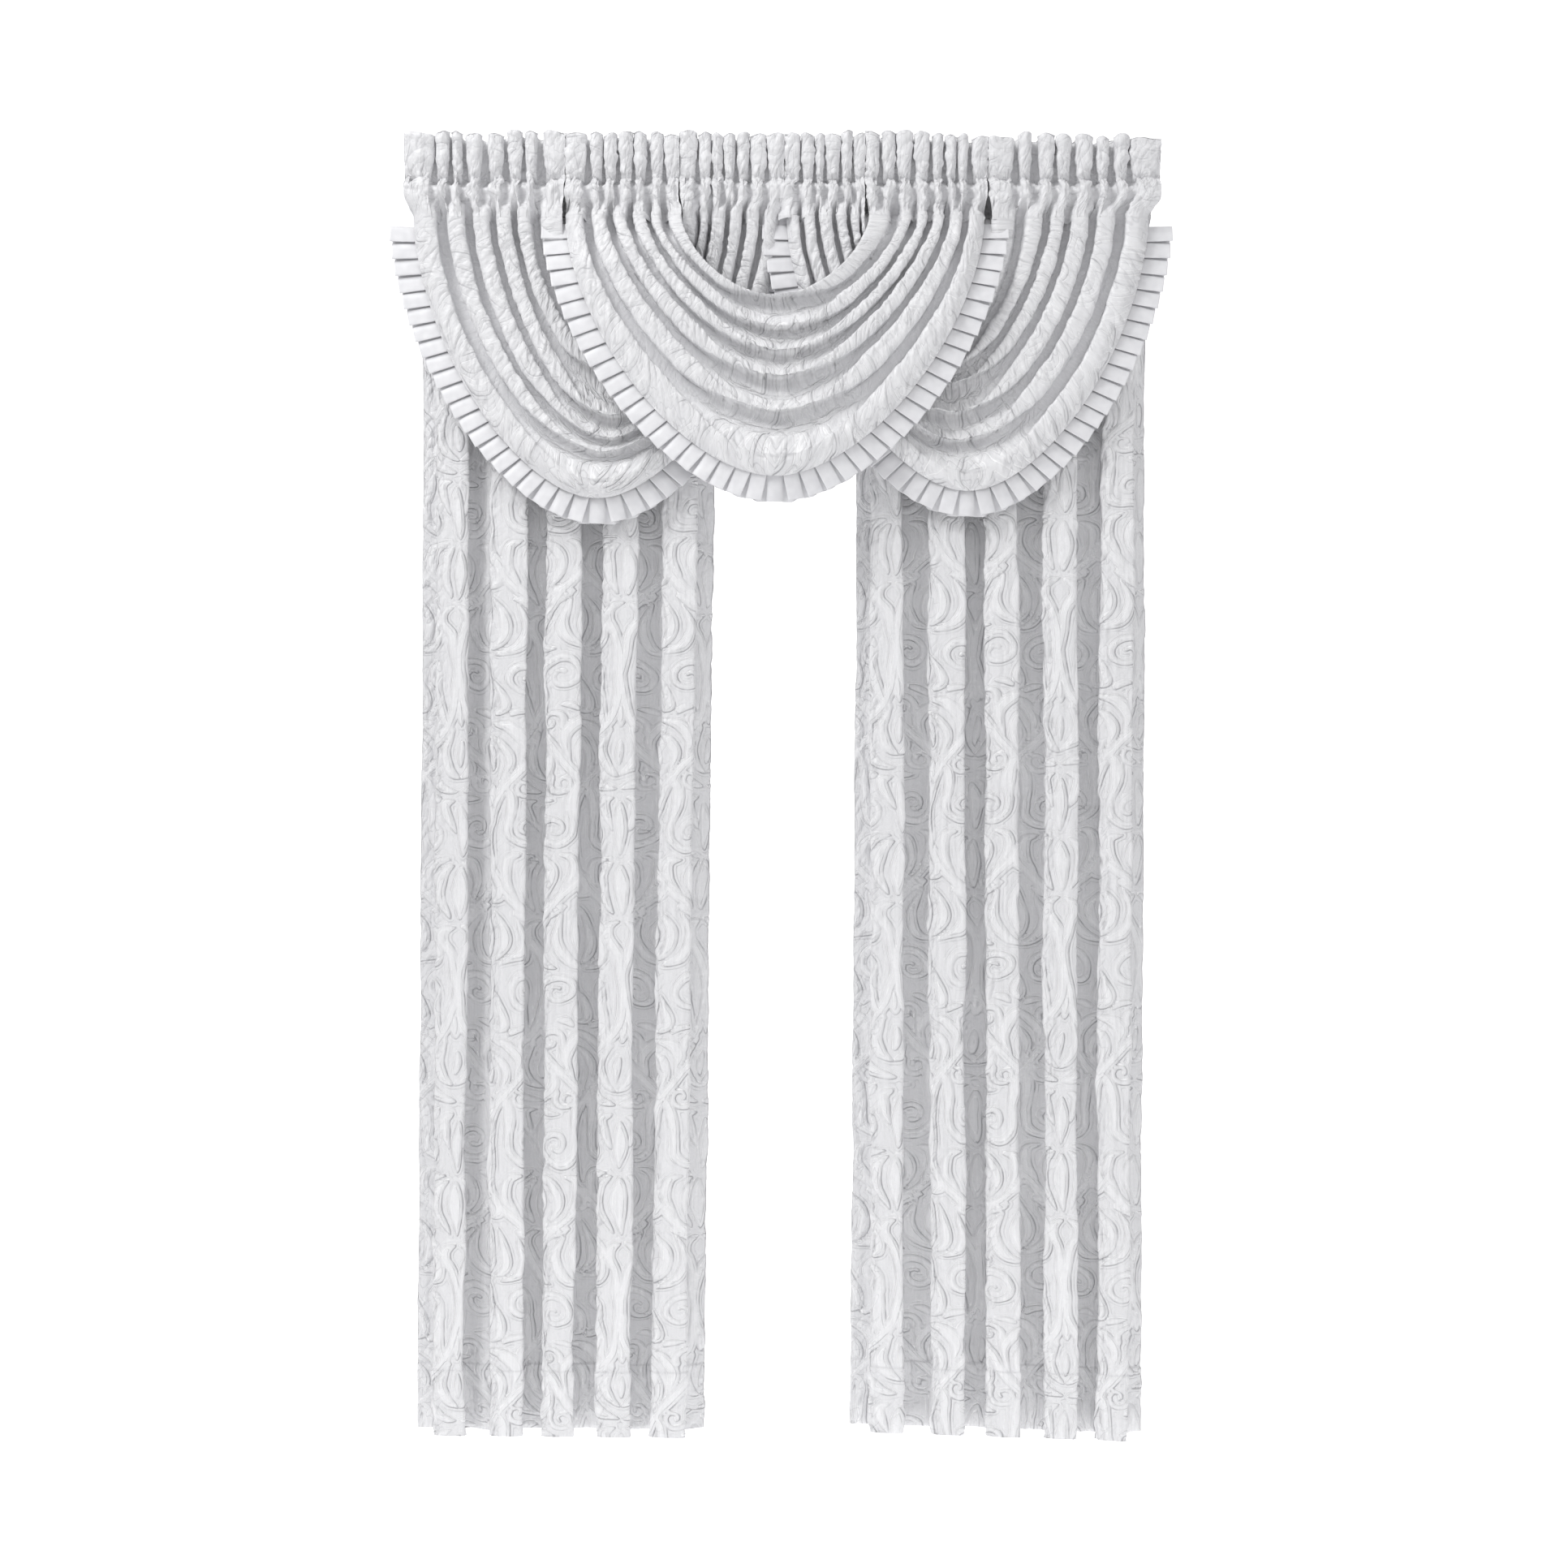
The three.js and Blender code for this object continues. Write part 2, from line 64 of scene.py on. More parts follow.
# Each heading starts at `start`, holds one side of a swag (0 its left, 1 its right) and hangs at `lean`
# where it is stitched to it; `lap` is how far it reaches over its neighbour. A fold is (wide, gap to the
# next, how far its top lies below the highest one).
HEADINGS = [
    {"node": "swag_left_outer_heading", "swag": 0, "side": 0, "start": -616, "lean": -6, "folds": [
        (49, 2, 5), (22, 5, 1), (16, 7, 1), (25, 11, 5), (24, 8, 5), (23, 5, 0), (19, 11, 1), (35, 0, 2)]},
    {"node": "swag_centre_left_heading", "swag": 1, "side": 0, "start": -353.6, "lean": -20, "folds": [
        (34, 7, 4), (20, 2, 3), (21, 4, 5), (22, 2, 2), (20, 7, 2), (21, 2, 3), (24, 0, 7)]},
    {"node": "swag_left_inner_heading", "swag": 0, "side": 1, "start": -167.2, "lean": -2, "folds": [
        (28, 3, 1), (20, 2, 3), (17, 2, 6), (18, 4, 5), (19, 2, 4), (26, 2, 6), (28, 0, 5)]},
    {"node": "swag_right_inner_heading", "swag": 2, "side": 0, "lap": 14, "start": 4.2, "lean": -16,
     "folds": [(25, 2, 6), (21, 2, 5), (14, 2, 5), (24, 2, 6), (18, 2, 0), (19, 0, 5)]},
    {"node": "swag_centre_right_heading", "swag": 1, "side": 1, "start": 135.6, "lean": -20, "folds": [
        (22, 5, 2), (22, 2, 1), (25, 4, 1), (24, 5, 3), (17, 5, 5), (17, 2, 7), (17, 7, 7), (25, 0, 10)]},
    {"node": "swag_right_outer_heading", "swag": 2, "side": 1, "start": 335, "lean": -6, "folds": [
        (42, 8, 11), (21, 11, 3), (26, 4, 5), (23, 8, 7), (28, 7, 7), (19, 9, 10), (23, 2, 7),
        (50, 0, 12)]},
]
PANEL_FRILLS = [(40, 2), (35, 0), (39, 4), (33, 1), (42, 3), (38, 0), (34, 5), (41, 2), (36, 4), (39, 1),
                (36, 3)]
PANEL_FRILL_GAP = 7
PANEL_COLUMNS_PER_FOLD = 14

# Swags: a row is (left, right, low, round) with ridges and hollows by turns, from the slack upper edge to
# the seam. `left` and `right` are its ends on the headings, `low` the bottom of its bow and `round` the
# bow's shape. A side is (depth at the heading, depth below it, depth of its folds, its ridges' share).
SWAG_TOP = -HEADING_HEIGHT - 0.3
FOLD_AT_HEADING = 14
FOLD_AT_BOTTOM = 12
RIDGES_APART = 45  # ridges that lie closer than this at the bottom make shallower folds
LEAVE_HEADING = 0.25
NEAR_BOTTOM = 0.5
TIERS = (0.55, 0.95)  # where on the way down the folds start to turn into tiers, and have done
BOW_ROUND = 0.35  # rounds off the lowest point of every bow
SWAG_DEEPER = 1.4  # how much deeper the cloth folds than its solid
SWAG_ROWS = 200
SWAG_COLUMNS = 320
# On the swags the damask's lines take painted highlight rather than painted shade, by this share.
SWAG_PAINTED_HIGHLIGHT = 0.5  # the damask's lines show pale on the swags, which face the light
SWAGS = [
    {"name": "left", "left_side": (-6, -4, 10, 0.87), "right_side": (-2, 4, 9, 0.9),
     "bottom": -4, "rows": [
        (-357, -162, -364, 1.7), (-403, -136, -377, 1.6), (-419, -127, -391, 1.6), (-436, -118, -436, 1.55),
        (-453, -103, -466, 1.55), (-471, -89, -484, 1.55), (-489, -75, -501, 1.6), (-510, -62, -512, 1.6),
        (-531, -48, -523, 1.6), (-553, -34, -541, 1.65), (-578, -20, -570, 1.65), (-601, -4, -597, 1.65)]},
    {"name": "centre", "left_side": (-20, -46, 10, 0.86), "right_side": (-20, -46, 10, 0.86),
     "bottom": -46, "rows": [
        (-163, 140, -279, 1.7), (-192, 184, -306, 1.55), (-205, 199, -331, 1.5), (-217, 214, -350, 1.5),
        (-232, 227, -370, 1.45), (-248, 240, -390, 1.45), (-264, 253, -411, 1.45), (-280, 267, -441, 1.45),
        (-298, 281, -467, 1.5), (-315, 297, -496, 1.55), (-334, 312, -537, 1.6), (-352, 328, -567, 1.65)]},
    {"name": "right", "left_side": (-16, -18, 9, 0.9), "right_side": (-6, -4, 10, 0.87),
     "bottom": -4, "rows": [
        (133, 340, -364, 1.7), (126, 388, -375, 1.6), (118, 408, -386, 1.6), (107, 430, -399, 1.55),
        (96, 448, -413, 1.55), (84, 464, -438, 1.55), (70, 484, -461, 1.6), (56, 505, -483, 1.6),
        (44, 526, -506, 1.6), (31, 549, -526, 1.65), (19, 574, -555, 1.65), (7, 597, -585, 1.65)]},
]

# Trim: a strip of satin in knife pleats that all point to the bottom of the swag
TRIM_DEPTH = 41
TRIM_START = 8  # how far below the heading the strip begins
TRIM_LAP = 4  # how far it reaches in behind the swag's edge
TRIM_BEHIND = 2.6
TRIM_HEM = 8
TRIM_CUT_BEYOND = 300  # strips that end this far from the middle are seen to be cut off
PLEAT_PITCH = 27
PLEAT_UNDER = 15  # how far each pleat runs on under its neighbour
PLEAT_TURN = math.radians(7)  # how far the pleats swing towards the floor on the swag's sides

# Panels: five flat-fronted folds each. A fold is its front's left and right edge high up, then at the foot.
# Each fold has a pair in floors: how far the cloth beside it comes forward on its right and on its left.
PANEL_LENGTH = 2134
PANEL_TOP = -4
PANEL_ROD_BACK = 37.8
FOLD_FRONT = -14
FOLD_BACK = 34
SIDE_SLANT = 7  # how far the left edge stands in front of the folds' backs and the right edge behind them
FOLDS_OPEN = -440
FOLDS_SEEN = -640
FOLDS_LOW = -2100
PANEL_GATHERED = 0.25
HEM_HEIGHT = 107
PANEL_COLUMNS = 268
PANEL_ROW_STEP = 5.1
HIDDEN_ROW_STEP = 22
HEM_LAYER = 2.4  # how far behind the front the turned-up layer lies
PANELS = [
    {"name": "left", "ends": (-599, -116, -610, -132), "hem": (-2, 2), "folds": [
        (-571, -517, -575, -526), (-481, -420, -483, -429), (-390, -330, -396, -345),
        (-298, -239, -306, -252), (-199, -141, -215, -160)],
     "floors": [(2, 6), (4, 20), (0, 3), (6, 0), (4, 2)]},
    {"name": "right", "ends": (123, 606, 113, 599), "hem": (-8, 8), "folds": [
        (145, 199, 144, 199), (242, 302, 245, 299), (333, 388, 337, 392),
        (431, 485, 433, 485), (526, 579, 518, 569)],
     "floors": [(6, 4), (0, 5), (3, 0), (8, 2), (5, 3)]},
]

# The damask's own repeat: half of an ogee lattice, mirrored about both of its upright sides. The second
# ogee holds the first one's figures upside down. A band keeps its width, a leaf tapers to both ends and a
# curl winds inwards; each is (form, wide, points), or for a curl its centre, radius, first angle and sweep.
REPEAT_HALF_WIDTH = 120
REPEAT_HEIGHT = 520
TILE_STEP = 1.0
PATTERN_WIDER = 1.13  # keeps the figures from landing alike on every fold
LATTICE = [
    ("band", 17, [(120, 0), (108, 66), (64, 126), (12, 190), (0, 260)]),
    ("band", 17, [(0, 260), (12, 330), (64, 394), (108, 454), (120, 520)]),
]
OGEE = [
    ("curl", 15, (58, 4, 33, 20, -500)),
    ("curl", 11, (70, 84, 20, 150, 430)),
    ("leaf", 20, [(110, 92), (92, 74), (88, 36), (90, -6)]),
    ("leaf", 22, [(0, 52), (0, 24), (0, -6), (0, -36)]),
    ("leaf", 17, [(8, 60), (24, 52), (22, 30), (12, 2)]),
    ("leaf", 24, [(0, -50), (0, -76), (0, -104), (0, -138)]),
    ("leaf", 19, [(10, -46), (26, -66), (28, -98), (12, -136)]),
    ("leaf", 19, [(16, -38), (46, -52), (58, -84), (44, -124)]),
    ("leaf", 17, [(66, -40), (86, -48), (88, -76), (72, -104)]),
    ("leaf", 20, [(2, 74), (30, 84), (48, 110), (40, 144)]),
    ("leaf", 18, [(0, 96), (18, 112), (26, 138), (12, 174)]),
    ("leaf", 12, [(0, 112), (0, 132), (0, 156)]),
    ("leaf", 12, [(30, 66), (42, 58), (62, 54)]),
    ("leaf", 18, [(2, -148), (20, -160), (20, -182), (2, -212)]),
    ("leaf", 15, [(0, 176), (0, 198), (0, 224)]),
    ("leaf", 13, [(38, -134), (52, -128), (64, -116)]),
]

# Colours
DAMASK_GROUND = "#E3E3E5"
# The figure colour also serves as painted highlight on the damask's lines, and the shadow colour is painted
# shade on the lines and in the creases.
DAMASK_FIGURE_AND_HIGHLIGHT = "#FBFBFC"
DAMASK_PAINTED_SHADE = "#A6A6AA"
SATIN_WHITE = "#EFEFF1"
SATIN_SHADE = "#DDDDE0"
THREAD_WHITE = "#DCDCDF"
STUDIO_GREY = "#BFBFC0"


def smooth(value, low, high):
    share = np.clip((np.asarray(value, float) - low) / (high - low), 0, 1)
    return share * share * (3 - 2 * share)


def blend(a, b, share):
    return a + (b - a) * share


def through(values, place):
    """A smooth line through values that stand at 0, 1, 2 and so on, read at place."""
    values = np.asarray(values, float)
    place = np.asarray(place, float)
    last = len(values) - 1
    i = np.clip(np.floor(place).astype(int), 0, last - 1)
    t = place - i
    if values.ndim > 1:
        t = t[..., None]
    before = values[np.maximum(i - 1, 0)]
    here = values[i]
    after = values[i + 1]
    beyond = values[np.minimum(i + 2, last)]
    bend = 2 * before - 5 * here + 4 * after - beyond
    twist = 3 * (here - after) + beyond - before
    return here + t / 2 * (after - before + t * (bend + t * twist))


def between(grid, i, j, s, t):
    """Reads a grid that repeats itself at shares s and t of the way from point i, j to the next ones."""
    rows, columns = grid.shape
    near = blend(grid[i % rows, j % columns], grid[(i + 1) % rows, j % columns], s)
    far = blend(grid[i % rows, (j + 1) % columns], grid[(i + 1) % rows, (j + 1) % columns], s)
    return blend(near, far, t)


RUMPLES = np.random.default_rng(11).uniform(-1, 1, (128, 128))


def rumple(across, along, turn=0):
    """An uneven height from -1 to 1 that changes over about one unit of each coordinate."""
    across, along = np.broadcast_arrays(np.asarray(across, float), np.asarray(along, float))
    across = across + 31.7 * turn
    along = along + 13.1 * turn
    i = np.floor(across).astype(int)
    j = np.floor(along).astype(int)
    return between(RUMPLES, i, j, smooth(across - i, 0, 1), smooth(along - j, 0, 1))


def puff(across, along, turn=0):
    """Soft puffs from -1 to 1 with sharp creases between them."""
    return 2.4 * np.abs(rumple(across, along, turn)) - 1


def hump(distance, width):
    """1 at no distance, falling smoothly to almost nothing at twice the width."""
    return np.exp(-((distance / width) ** 2))


def lengths(points, axis):
    """How far each point of a grid lies along its line, in the points' own units."""
    steps = np.linalg.norm(np.diff(points, axis=axis), axis=-1)
    start = np.zeros_like(np.take(steps, [0], axis=axis))
    return np.concatenate([start, np.cumsum(steps, axis=axis)], axis=axis)


def facing(points):
    """The direction that each point of a grid faces, towards the room where its rows run downwards."""
    normal = np.cross(np.gradient(points, axis=0), np.gradient(points, axis=1))
    size = np.linalg.norm(normal, axis=-1, keepdims=True)
    return normal / np.maximum(size, 1e-9)


def figure_line(form, points):
    """The points along a figure's middle; a curl winds in to a fifth of its radius."""
    if form != "curl":
        return np.array(points, float)
    centre_u, centre_v, radius, first, sweep = points
    angles = np.radians(first + np.linspace(0, sweep, 12))
    size = radius * np.linspace(1, 0.18, 12)
    return np.stack([centre_u + size * np.cos(angles), centre_v + size * np.sin(angles)], -1)


def damask_tile():
    """How far each point of half a repeat lies inside a figure, in mm."""
    upright = [(form, wide, figure_line(form, points)) for form, wide, points in LATTICE + OGEE]
    turned = np.array([REPEAT_HALF_WIDTH, REPEAT_HEIGHT / 2])
    upside_down = [(form, wide, turned - line) for form, wide, line in upright[len(LATTICE):]]
    u = np.arange(0, REPEAT_HALF_WIDTH + TILE_STEP / 2, TILE_STEP)
    v = np.arange(0, REPEAT_HEIGHT - TILE_STEP / 2, TILE_STEP)
    across, along = np.meshgrid(u, v)
    inside = np.full(across.shape, -40.0)
    for form, wide, line in upright + upside_down:
        place = np.linspace(0, len(line) - 1, 30 * (len(line) - 1))
        share = place / place[-1]
        tapers = {"band": np.ones_like(share), "leaf": np.sin(math.pi * share) ** 0.8,
                  "curl": 1 - 0.6 * share}
        for (disc_u, disc_v), radius in zip(through(line, place), wide / 2 * tapers[form]):
            down = (along - disc_v + REPEAT_HEIGHT / 2) % REPEAT_HEIGHT - REPEAT_HEIGHT / 2
            inside = np.maximum(inside, radius - np.hypot(across - disc_u, down))
    return inside.T


TILE = damask_tile()


def damask_at(across, along):
    """How far points of the cloth lie inside a figure, in mm. The weave drifts, so no two repeats match."""
    drift = 9 * rumple(across / 95, along / 95) + 3 * rumple(across / 35, along / 35, 2)
    along = along + 9 * rumple(across / 95, along / 95, 1) + 3 * rumple(across / 35, along / 35, 3)
    repeat = (across / PATTERN_WIDER + drift) % (2 * REPEAT_HALF_WIDTH)
    u = (REPEAT_HALF_WIDTH - np.abs(repeat - REPEAT_HALF_WIDTH)) / TILE_STEP
    v = (along % REPEAT_HEIGHT) / TILE_STEP
    i = np.minimum(np.floor(u).astype(int), len(TILE) - 2)
    j = np.floor(v).astype(int)
    return between(TILE, i, j, u - i, v - j)


def facing_painted_light(across, along):
    """Which side of a figure points of the cloth are on: 1 at its upper left and -1 at its lower right. The
    damask's lines take painted highlight on the first side and painted shade on the second.
    """
    step = np.array([1.5, 1.3])
    ahead = damask_at(across + step[0], along + step[1])
    return (ahead - damask_at(across - step[0], along - step[1])) / (2 * np.hypot(*step))


def relief(inside):
    """How far the damask stands up: padded figures, each with a crease round it."""
    return smooth(inside, -1, 5) - 0.9 * hump(inside, 1.8)


def new_object(name, data):
    """An object in the scene for a mesh, a lamp or a camera."""
    made = bpy.data.objects.new(name, data)
    bpy.context.scene.collection.objects.link(made)
    return made


def sheet_object(name, points, across, along, material, shown=None, crinkled=0.0, painted_highlight_share=0.0):
    """A sheet of cloth from a grid of points in mm; across and along are their places in the flat cloth. For
    damask, shown is how far its figures stand out there, crinkled how creased it is, which also sets the
    painted shade in its creases, and the last how far its lines all take painted highlight, from 0 to 1."""
    rows, columns = points.shape[:2]
    across, along = np.broadcast_arrays(across, along)
    index = np.arange(rows * columns).reshape(rows, columns)
    corners = [index[:-1, :-1], index[1:, :-1], index[1:, 1:], index[:-1, 1:]]
    faces = np.stack(corners, -1).reshape(-1, 4)
    mesh = bpy.data.meshes.new(name)
    mesh.from_pydata((points * MM).reshape(-1, 3).tolist(), [], faces.tolist(), shade_flat=False)
    flat = np.stack([across.ravel(), along.ravel()], -1) * MM
    mesh.uv_layers.new(name="cloth").data.foreach_set("uv", flat[faces.ravel()].astype(np.float32).ravel())
    if shown is not None:
        # The side attribute says where the lines take painted highlight and where painted shade.
        layers = {"figure": damask_at(across, along), "side": facing_painted_light(across, along) + painted_highlight_share,
                  "shown": shown, "crinkled": crinkled}
        for label, values in layers.items():
            values = np.broadcast_to(values, across.shape).astype(np.float32)
            mesh.attributes.new(label, "FLOAT", "POINT").data.foreach_set("value", values.ravel())
    mesh.materials.append(material)
    return new_object(name, mesh)


def hang(piece, node, slot, flat, held, **cut):
    """Sets a sheet in the place of its solid; the size that it was cut to, in mm, is not used."""
    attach(piece, "root")
    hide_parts(node)


# Materials
def linear(hex_colour):
    """An sRGB hex colour as linear red, green, blue and alpha."""
    shares = [int(hex_colour[i:i + 2], 16) / 255 for i in (1, 3, 5)]
    return [s / 12.92 if s <= 0.04045 else ((s + 0.055) / 1.055) ** 2.4 for s in shares] + [1.0]


def add_node(tree, kind, inputs=None, out=0, **settings):
    """Adds a node with its settings, gives its inputs values or links and hands back one of its outputs."""
    node = tree.nodes.new(kind)
    for name, value in settings.items():
        setattr(node, name, value)
    for key, value in (inputs or {}).items():
        if isinstance(value, bpy.types.NodeSocket):
            tree.links.new(value, node.inputs[key])
        else:
            node.inputs[key].default_value = value
    return node.outputs[out] if node.outputs else None


def new_material(name):
    """An empty material, and the function that adds nodes to it."""
    material = bpy.data.materials.new(name)
    material.use_nodes = True
    material.node_tree.nodes.clear()
    return material, partial(add_node, material.node_tree)


def matelasse_damask():
    """White-on-white polyester matelasse: a matt, finely ribbed ground and puffed figures of brighter float
    threads. Their outlines are drawn in, with painted highlight on each figure's upper left and painted
    shade on its lower right, as if lit from the upper left; the creases between puffs take painted shade
    too. A faint sheen and small puckers cover all of it."""
    material, add = new_material("matelasse_damask")
    figure, side, shown, crinkled = (add("ShaderNodeAttribute", out="Fac", attribute_name=label)
                                     for label in ("figure", "side", "shown", "crinkled"))
    cloth = add("ShaderNodeUVMap", uv_map="cloth")

    # Threads are 0.5 mm apart and too fine to show, so the ribs are drawn 4 mm apart and broken up.
    # Crinkles are soft puffs of 17 by 42 mm that slant alike on both sides of a swag's middle.
    stretched = add("ShaderNodeMapping", {"Vector": cloth, "Scale": (250.0, 22.0, 1.0)})
    evened = add("ShaderNodeVectorMath", {0: cloth}, operation="ABSOLUTE")
    slanted = add("ShaderNodeMapping", {
        "Vector": evened, "Rotation": (0, 0, 0.6), "Scale": (17 * MM, 42 * MM, 1.0)}, vector_type="TEXTURE")
    ribs, puffs, puckers, patches = (
        add("ShaderNodeTexNoise", {"Vector": place, "Scale": scale, "Detail": detail},
            noise_dimensions="2D")
        for place, scale, detail in ((stretched, 1.0, 1.0), (slanted, 1.0, 1.0), (cloth, 120.0, 2.0),
                                     (cloth, 33.0, 1.0)))
    puffs = add("ShaderNodeMath", {0: puffs, 1: 0.5}, operation="SUBTRACT")
    puffs = add("ShaderNodeMath", {0: puffs}, operation="ABSOLUTE")
    # Painted shade lies in the sharp creases between the puffs.
    creases = add("ShaderNodeMapRange", {
        "Value": puffs, "From Max": 0.022, "To Min": 0.4, "To Max": 0.0}, interpolation_type="SMOOTHSTEP")

    # Lines run along the outlines, 5 mm inside them and 4.5 mm outside, in shares of the first.
    lines = 0.0
    for distance, half_width, share in ((0.0, 1.3, 1.0), (5.0, 1.0, 0.6), (-4.5, 1.1, 0.45)):
        off = add("ShaderNodeMath", {0: figure, 1: distance}, operation="SUBTRACT")
        off = add("ShaderNodeMath", {0: off}, operation="ABSOLUTE")
        line = add("ShaderNodeMapRange", {
            "Value": off, "From Max": half_width, "To Min": share, "To Max": 0.0},
            interpolation_type="SMOOTHSTEP")
        lines = add("ShaderNodeMath", {0: line, 1: lines}, operation="ADD")
    # They come and go along their length over about 30 mm.
    broken = add("ShaderNodeMapRange", {
        "Value": patches, "From Min": 0.32, "From Max": 0.58, "To Min": 0.25})
    for share in (broken, shown):
        lines = add("ShaderNodeMath", {0: lines, 1: share}, operation="MULTIPLY")
    # Painted shade falls on the lines at a figure's lower right and painted highlight at its upper left, as
    # if lit from the upper left, and the figure is padded.
    painted_shade_side, painted_highlight_side, pad = (
        add("ShaderNodeMapRange", {"Value": value, "From Min": low, "From Max": high},
            interpolation_type="SMOOTHSTEP")
        for value, low, high in ((side, 0.25, -0.6), (side, -0.3, 0.5), (figure, -1.0, 5.5)))
    painted_shade, pale, pad, puffs, creases = (
        add("ShaderNodeMath", {0: layer, 1: share}, operation="MULTIPLY")
        for layer, share in ((lines, painted_shade_side), (lines, painted_highlight_side), (pad, shown), (puffs, crinkled),
                             (creases, crinkled)))

    # The lines are pressed in, and everything else stands up from the ground.
    height = pad
    for layer, rise in ((lines, -0.6), (puffs, 5.0), (puckers, 0.7), (ribs, 0.35)):
        height = add("ShaderNodeMath", {0: layer, 1: rise, 2: height}, operation="MULTIPLY_ADD")
    bump = add("ShaderNodeBump", {"Height": height, "Strength": 1.0, "Distance": 1.7 * MM})

    # Ribs and padded figures are paler; the lines' painted highlight makes them paler still.
    bright = -0.3
    for layer, gain in ((ribs, 0.6), (pad, 0.3), (pale, 1.1)):
        bright = add("ShaderNodeMath", {0: layer, 1: gain, 2: bright}, operation="MULTIPLY_ADD")
    colour = add("ShaderNodeMixRGB", {
        "Fac": bright, "Color1": linear(DAMASK_GROUND), "Color2": linear(DAMASK_FIGURE_AND_HIGHLIGHT)}, use_clamp=True)
    # Painted shade darkens the lines at a figure's lower right and the creases between puffs.
    painted_shade = add("ShaderNodeMath", {0: painted_shade, 1: 0.8, 2: creases}, operation="MULTIPLY_ADD")
    colour = add("ShaderNodeMixRGB", {
        "Fac": painted_shade, "Color1": colour, "Color2": linear(DAMASK_PAINTED_SHADE)})
    rough = add("ShaderNodeMapRange", {"Value": pad, "To Min": 0.52, "To Max": 0.36})
    shader = add("ShaderNodeBsdfPrincipled", {
        "Base Color": colour, "Roughness": rough, "Normal": bump,
        "Sheen Weight": 0.1, "Sheen Roughness": 0.5, "Specular IOR Level": 0.5})
    add("ShaderNodeOutputMaterial", {"Surface": shader})
    return material


def ribbon_satin():
    """White polyester satin: a smooth close weave with a soft broad gloss and the faintest cloudiness."""
    material, add = new_material("ribbon_satin")
    cloth = add("ShaderNodeUVMap", uv_map="cloth")
    # Threads of 0.3 mm are too fine to show, so the weave is drawn at 1.5 mm.
    woven = add("ShaderNodeMapping", {"Vector": cloth, "Scale": (650.0, 120.0, 1.0)})
    clouds, weave = (
        add("ShaderNodeTexNoise", {"Vector": place, "Scale": scale, "Detail": detail},
            noise_dimensions="2D")
        for place, scale, detail in ((cloth, 60.0, 1.0), (woven, 1.0, 0.0)))
    height = add("ShaderNodeMath", {0: weave, 1: 0.12, 2: clouds}, operation="MULTIPLY_ADD")
    bump = add("ShaderNodeBump", {"Height": height, "Strength": 0.5, "Distance": 0.6 * MM})
    colour = add("ShaderNodeMixRGB", {
        "Fac": clouds, "Color1": linear(SATIN_SHADE), "Color2": linear(SATIN_WHITE)})
    rough = add("ShaderNodeMapRange", {"Value": weave, "To Min": 0.36, "To Max": 0.5})
    shader = add("ShaderNodeBsdfPrincipled", {
        "Base Color": colour, "Roughness": rough, "Normal": bump,
        "Sheen Weight": 0.1, "Sheen Roughness": 0.35, "Specular IOR Level": 0.5})
    add("ShaderNodeOutputMaterial", {"Surface": shader})
    return material


def sewing_thread():
    """White spun polyester thread: matt, with the twist of its two plies as a fine slanting ripple."""
    material, add = new_material("sewing_thread")
    place = add("ShaderNodeTexCoord", out="Object")
    twist = add("ShaderNodeTexNoise", {"Vector": place, "Scale": 900.0, "Detail": 1.0})
    colour = add("ShaderNodeMixRGB", {
        "Fac": twist, "Color1": linear(THREAD_WHITE), "Color2": linear(SATIN_WHITE)})
    bump = add("ShaderNodeBump", {"Height": twist, "Strength": 0.4, "Distance": 0.3 * MM})
    shader = add("ShaderNodeBsdfPrincipled", {
        "Base Color": colour, "Roughness": 0.8, "Normal": bump})
    add("ShaderNodeOutputMaterial", {"Surface": shader})
    return material


damask = matelasse_damask()
satin = ribbon_satin()
thread = sewing_thread()
stitch_lines = []


# Panels
def spline_weights(count, place):
    """Shares of the control points in a line that rounds off the corners between them."""
    i = np.minimum(np.floor(place).astype(int), count - 3)
    t = place - i
    weights = np.zeros((len(place), count))
    for offset, share in enumerate([(1 - t) ** 2 / 2, 0.5 + t * (1 - t), t * t / 2]):
        weights[np.arange(len(place)), i + offset] = share
    return weights


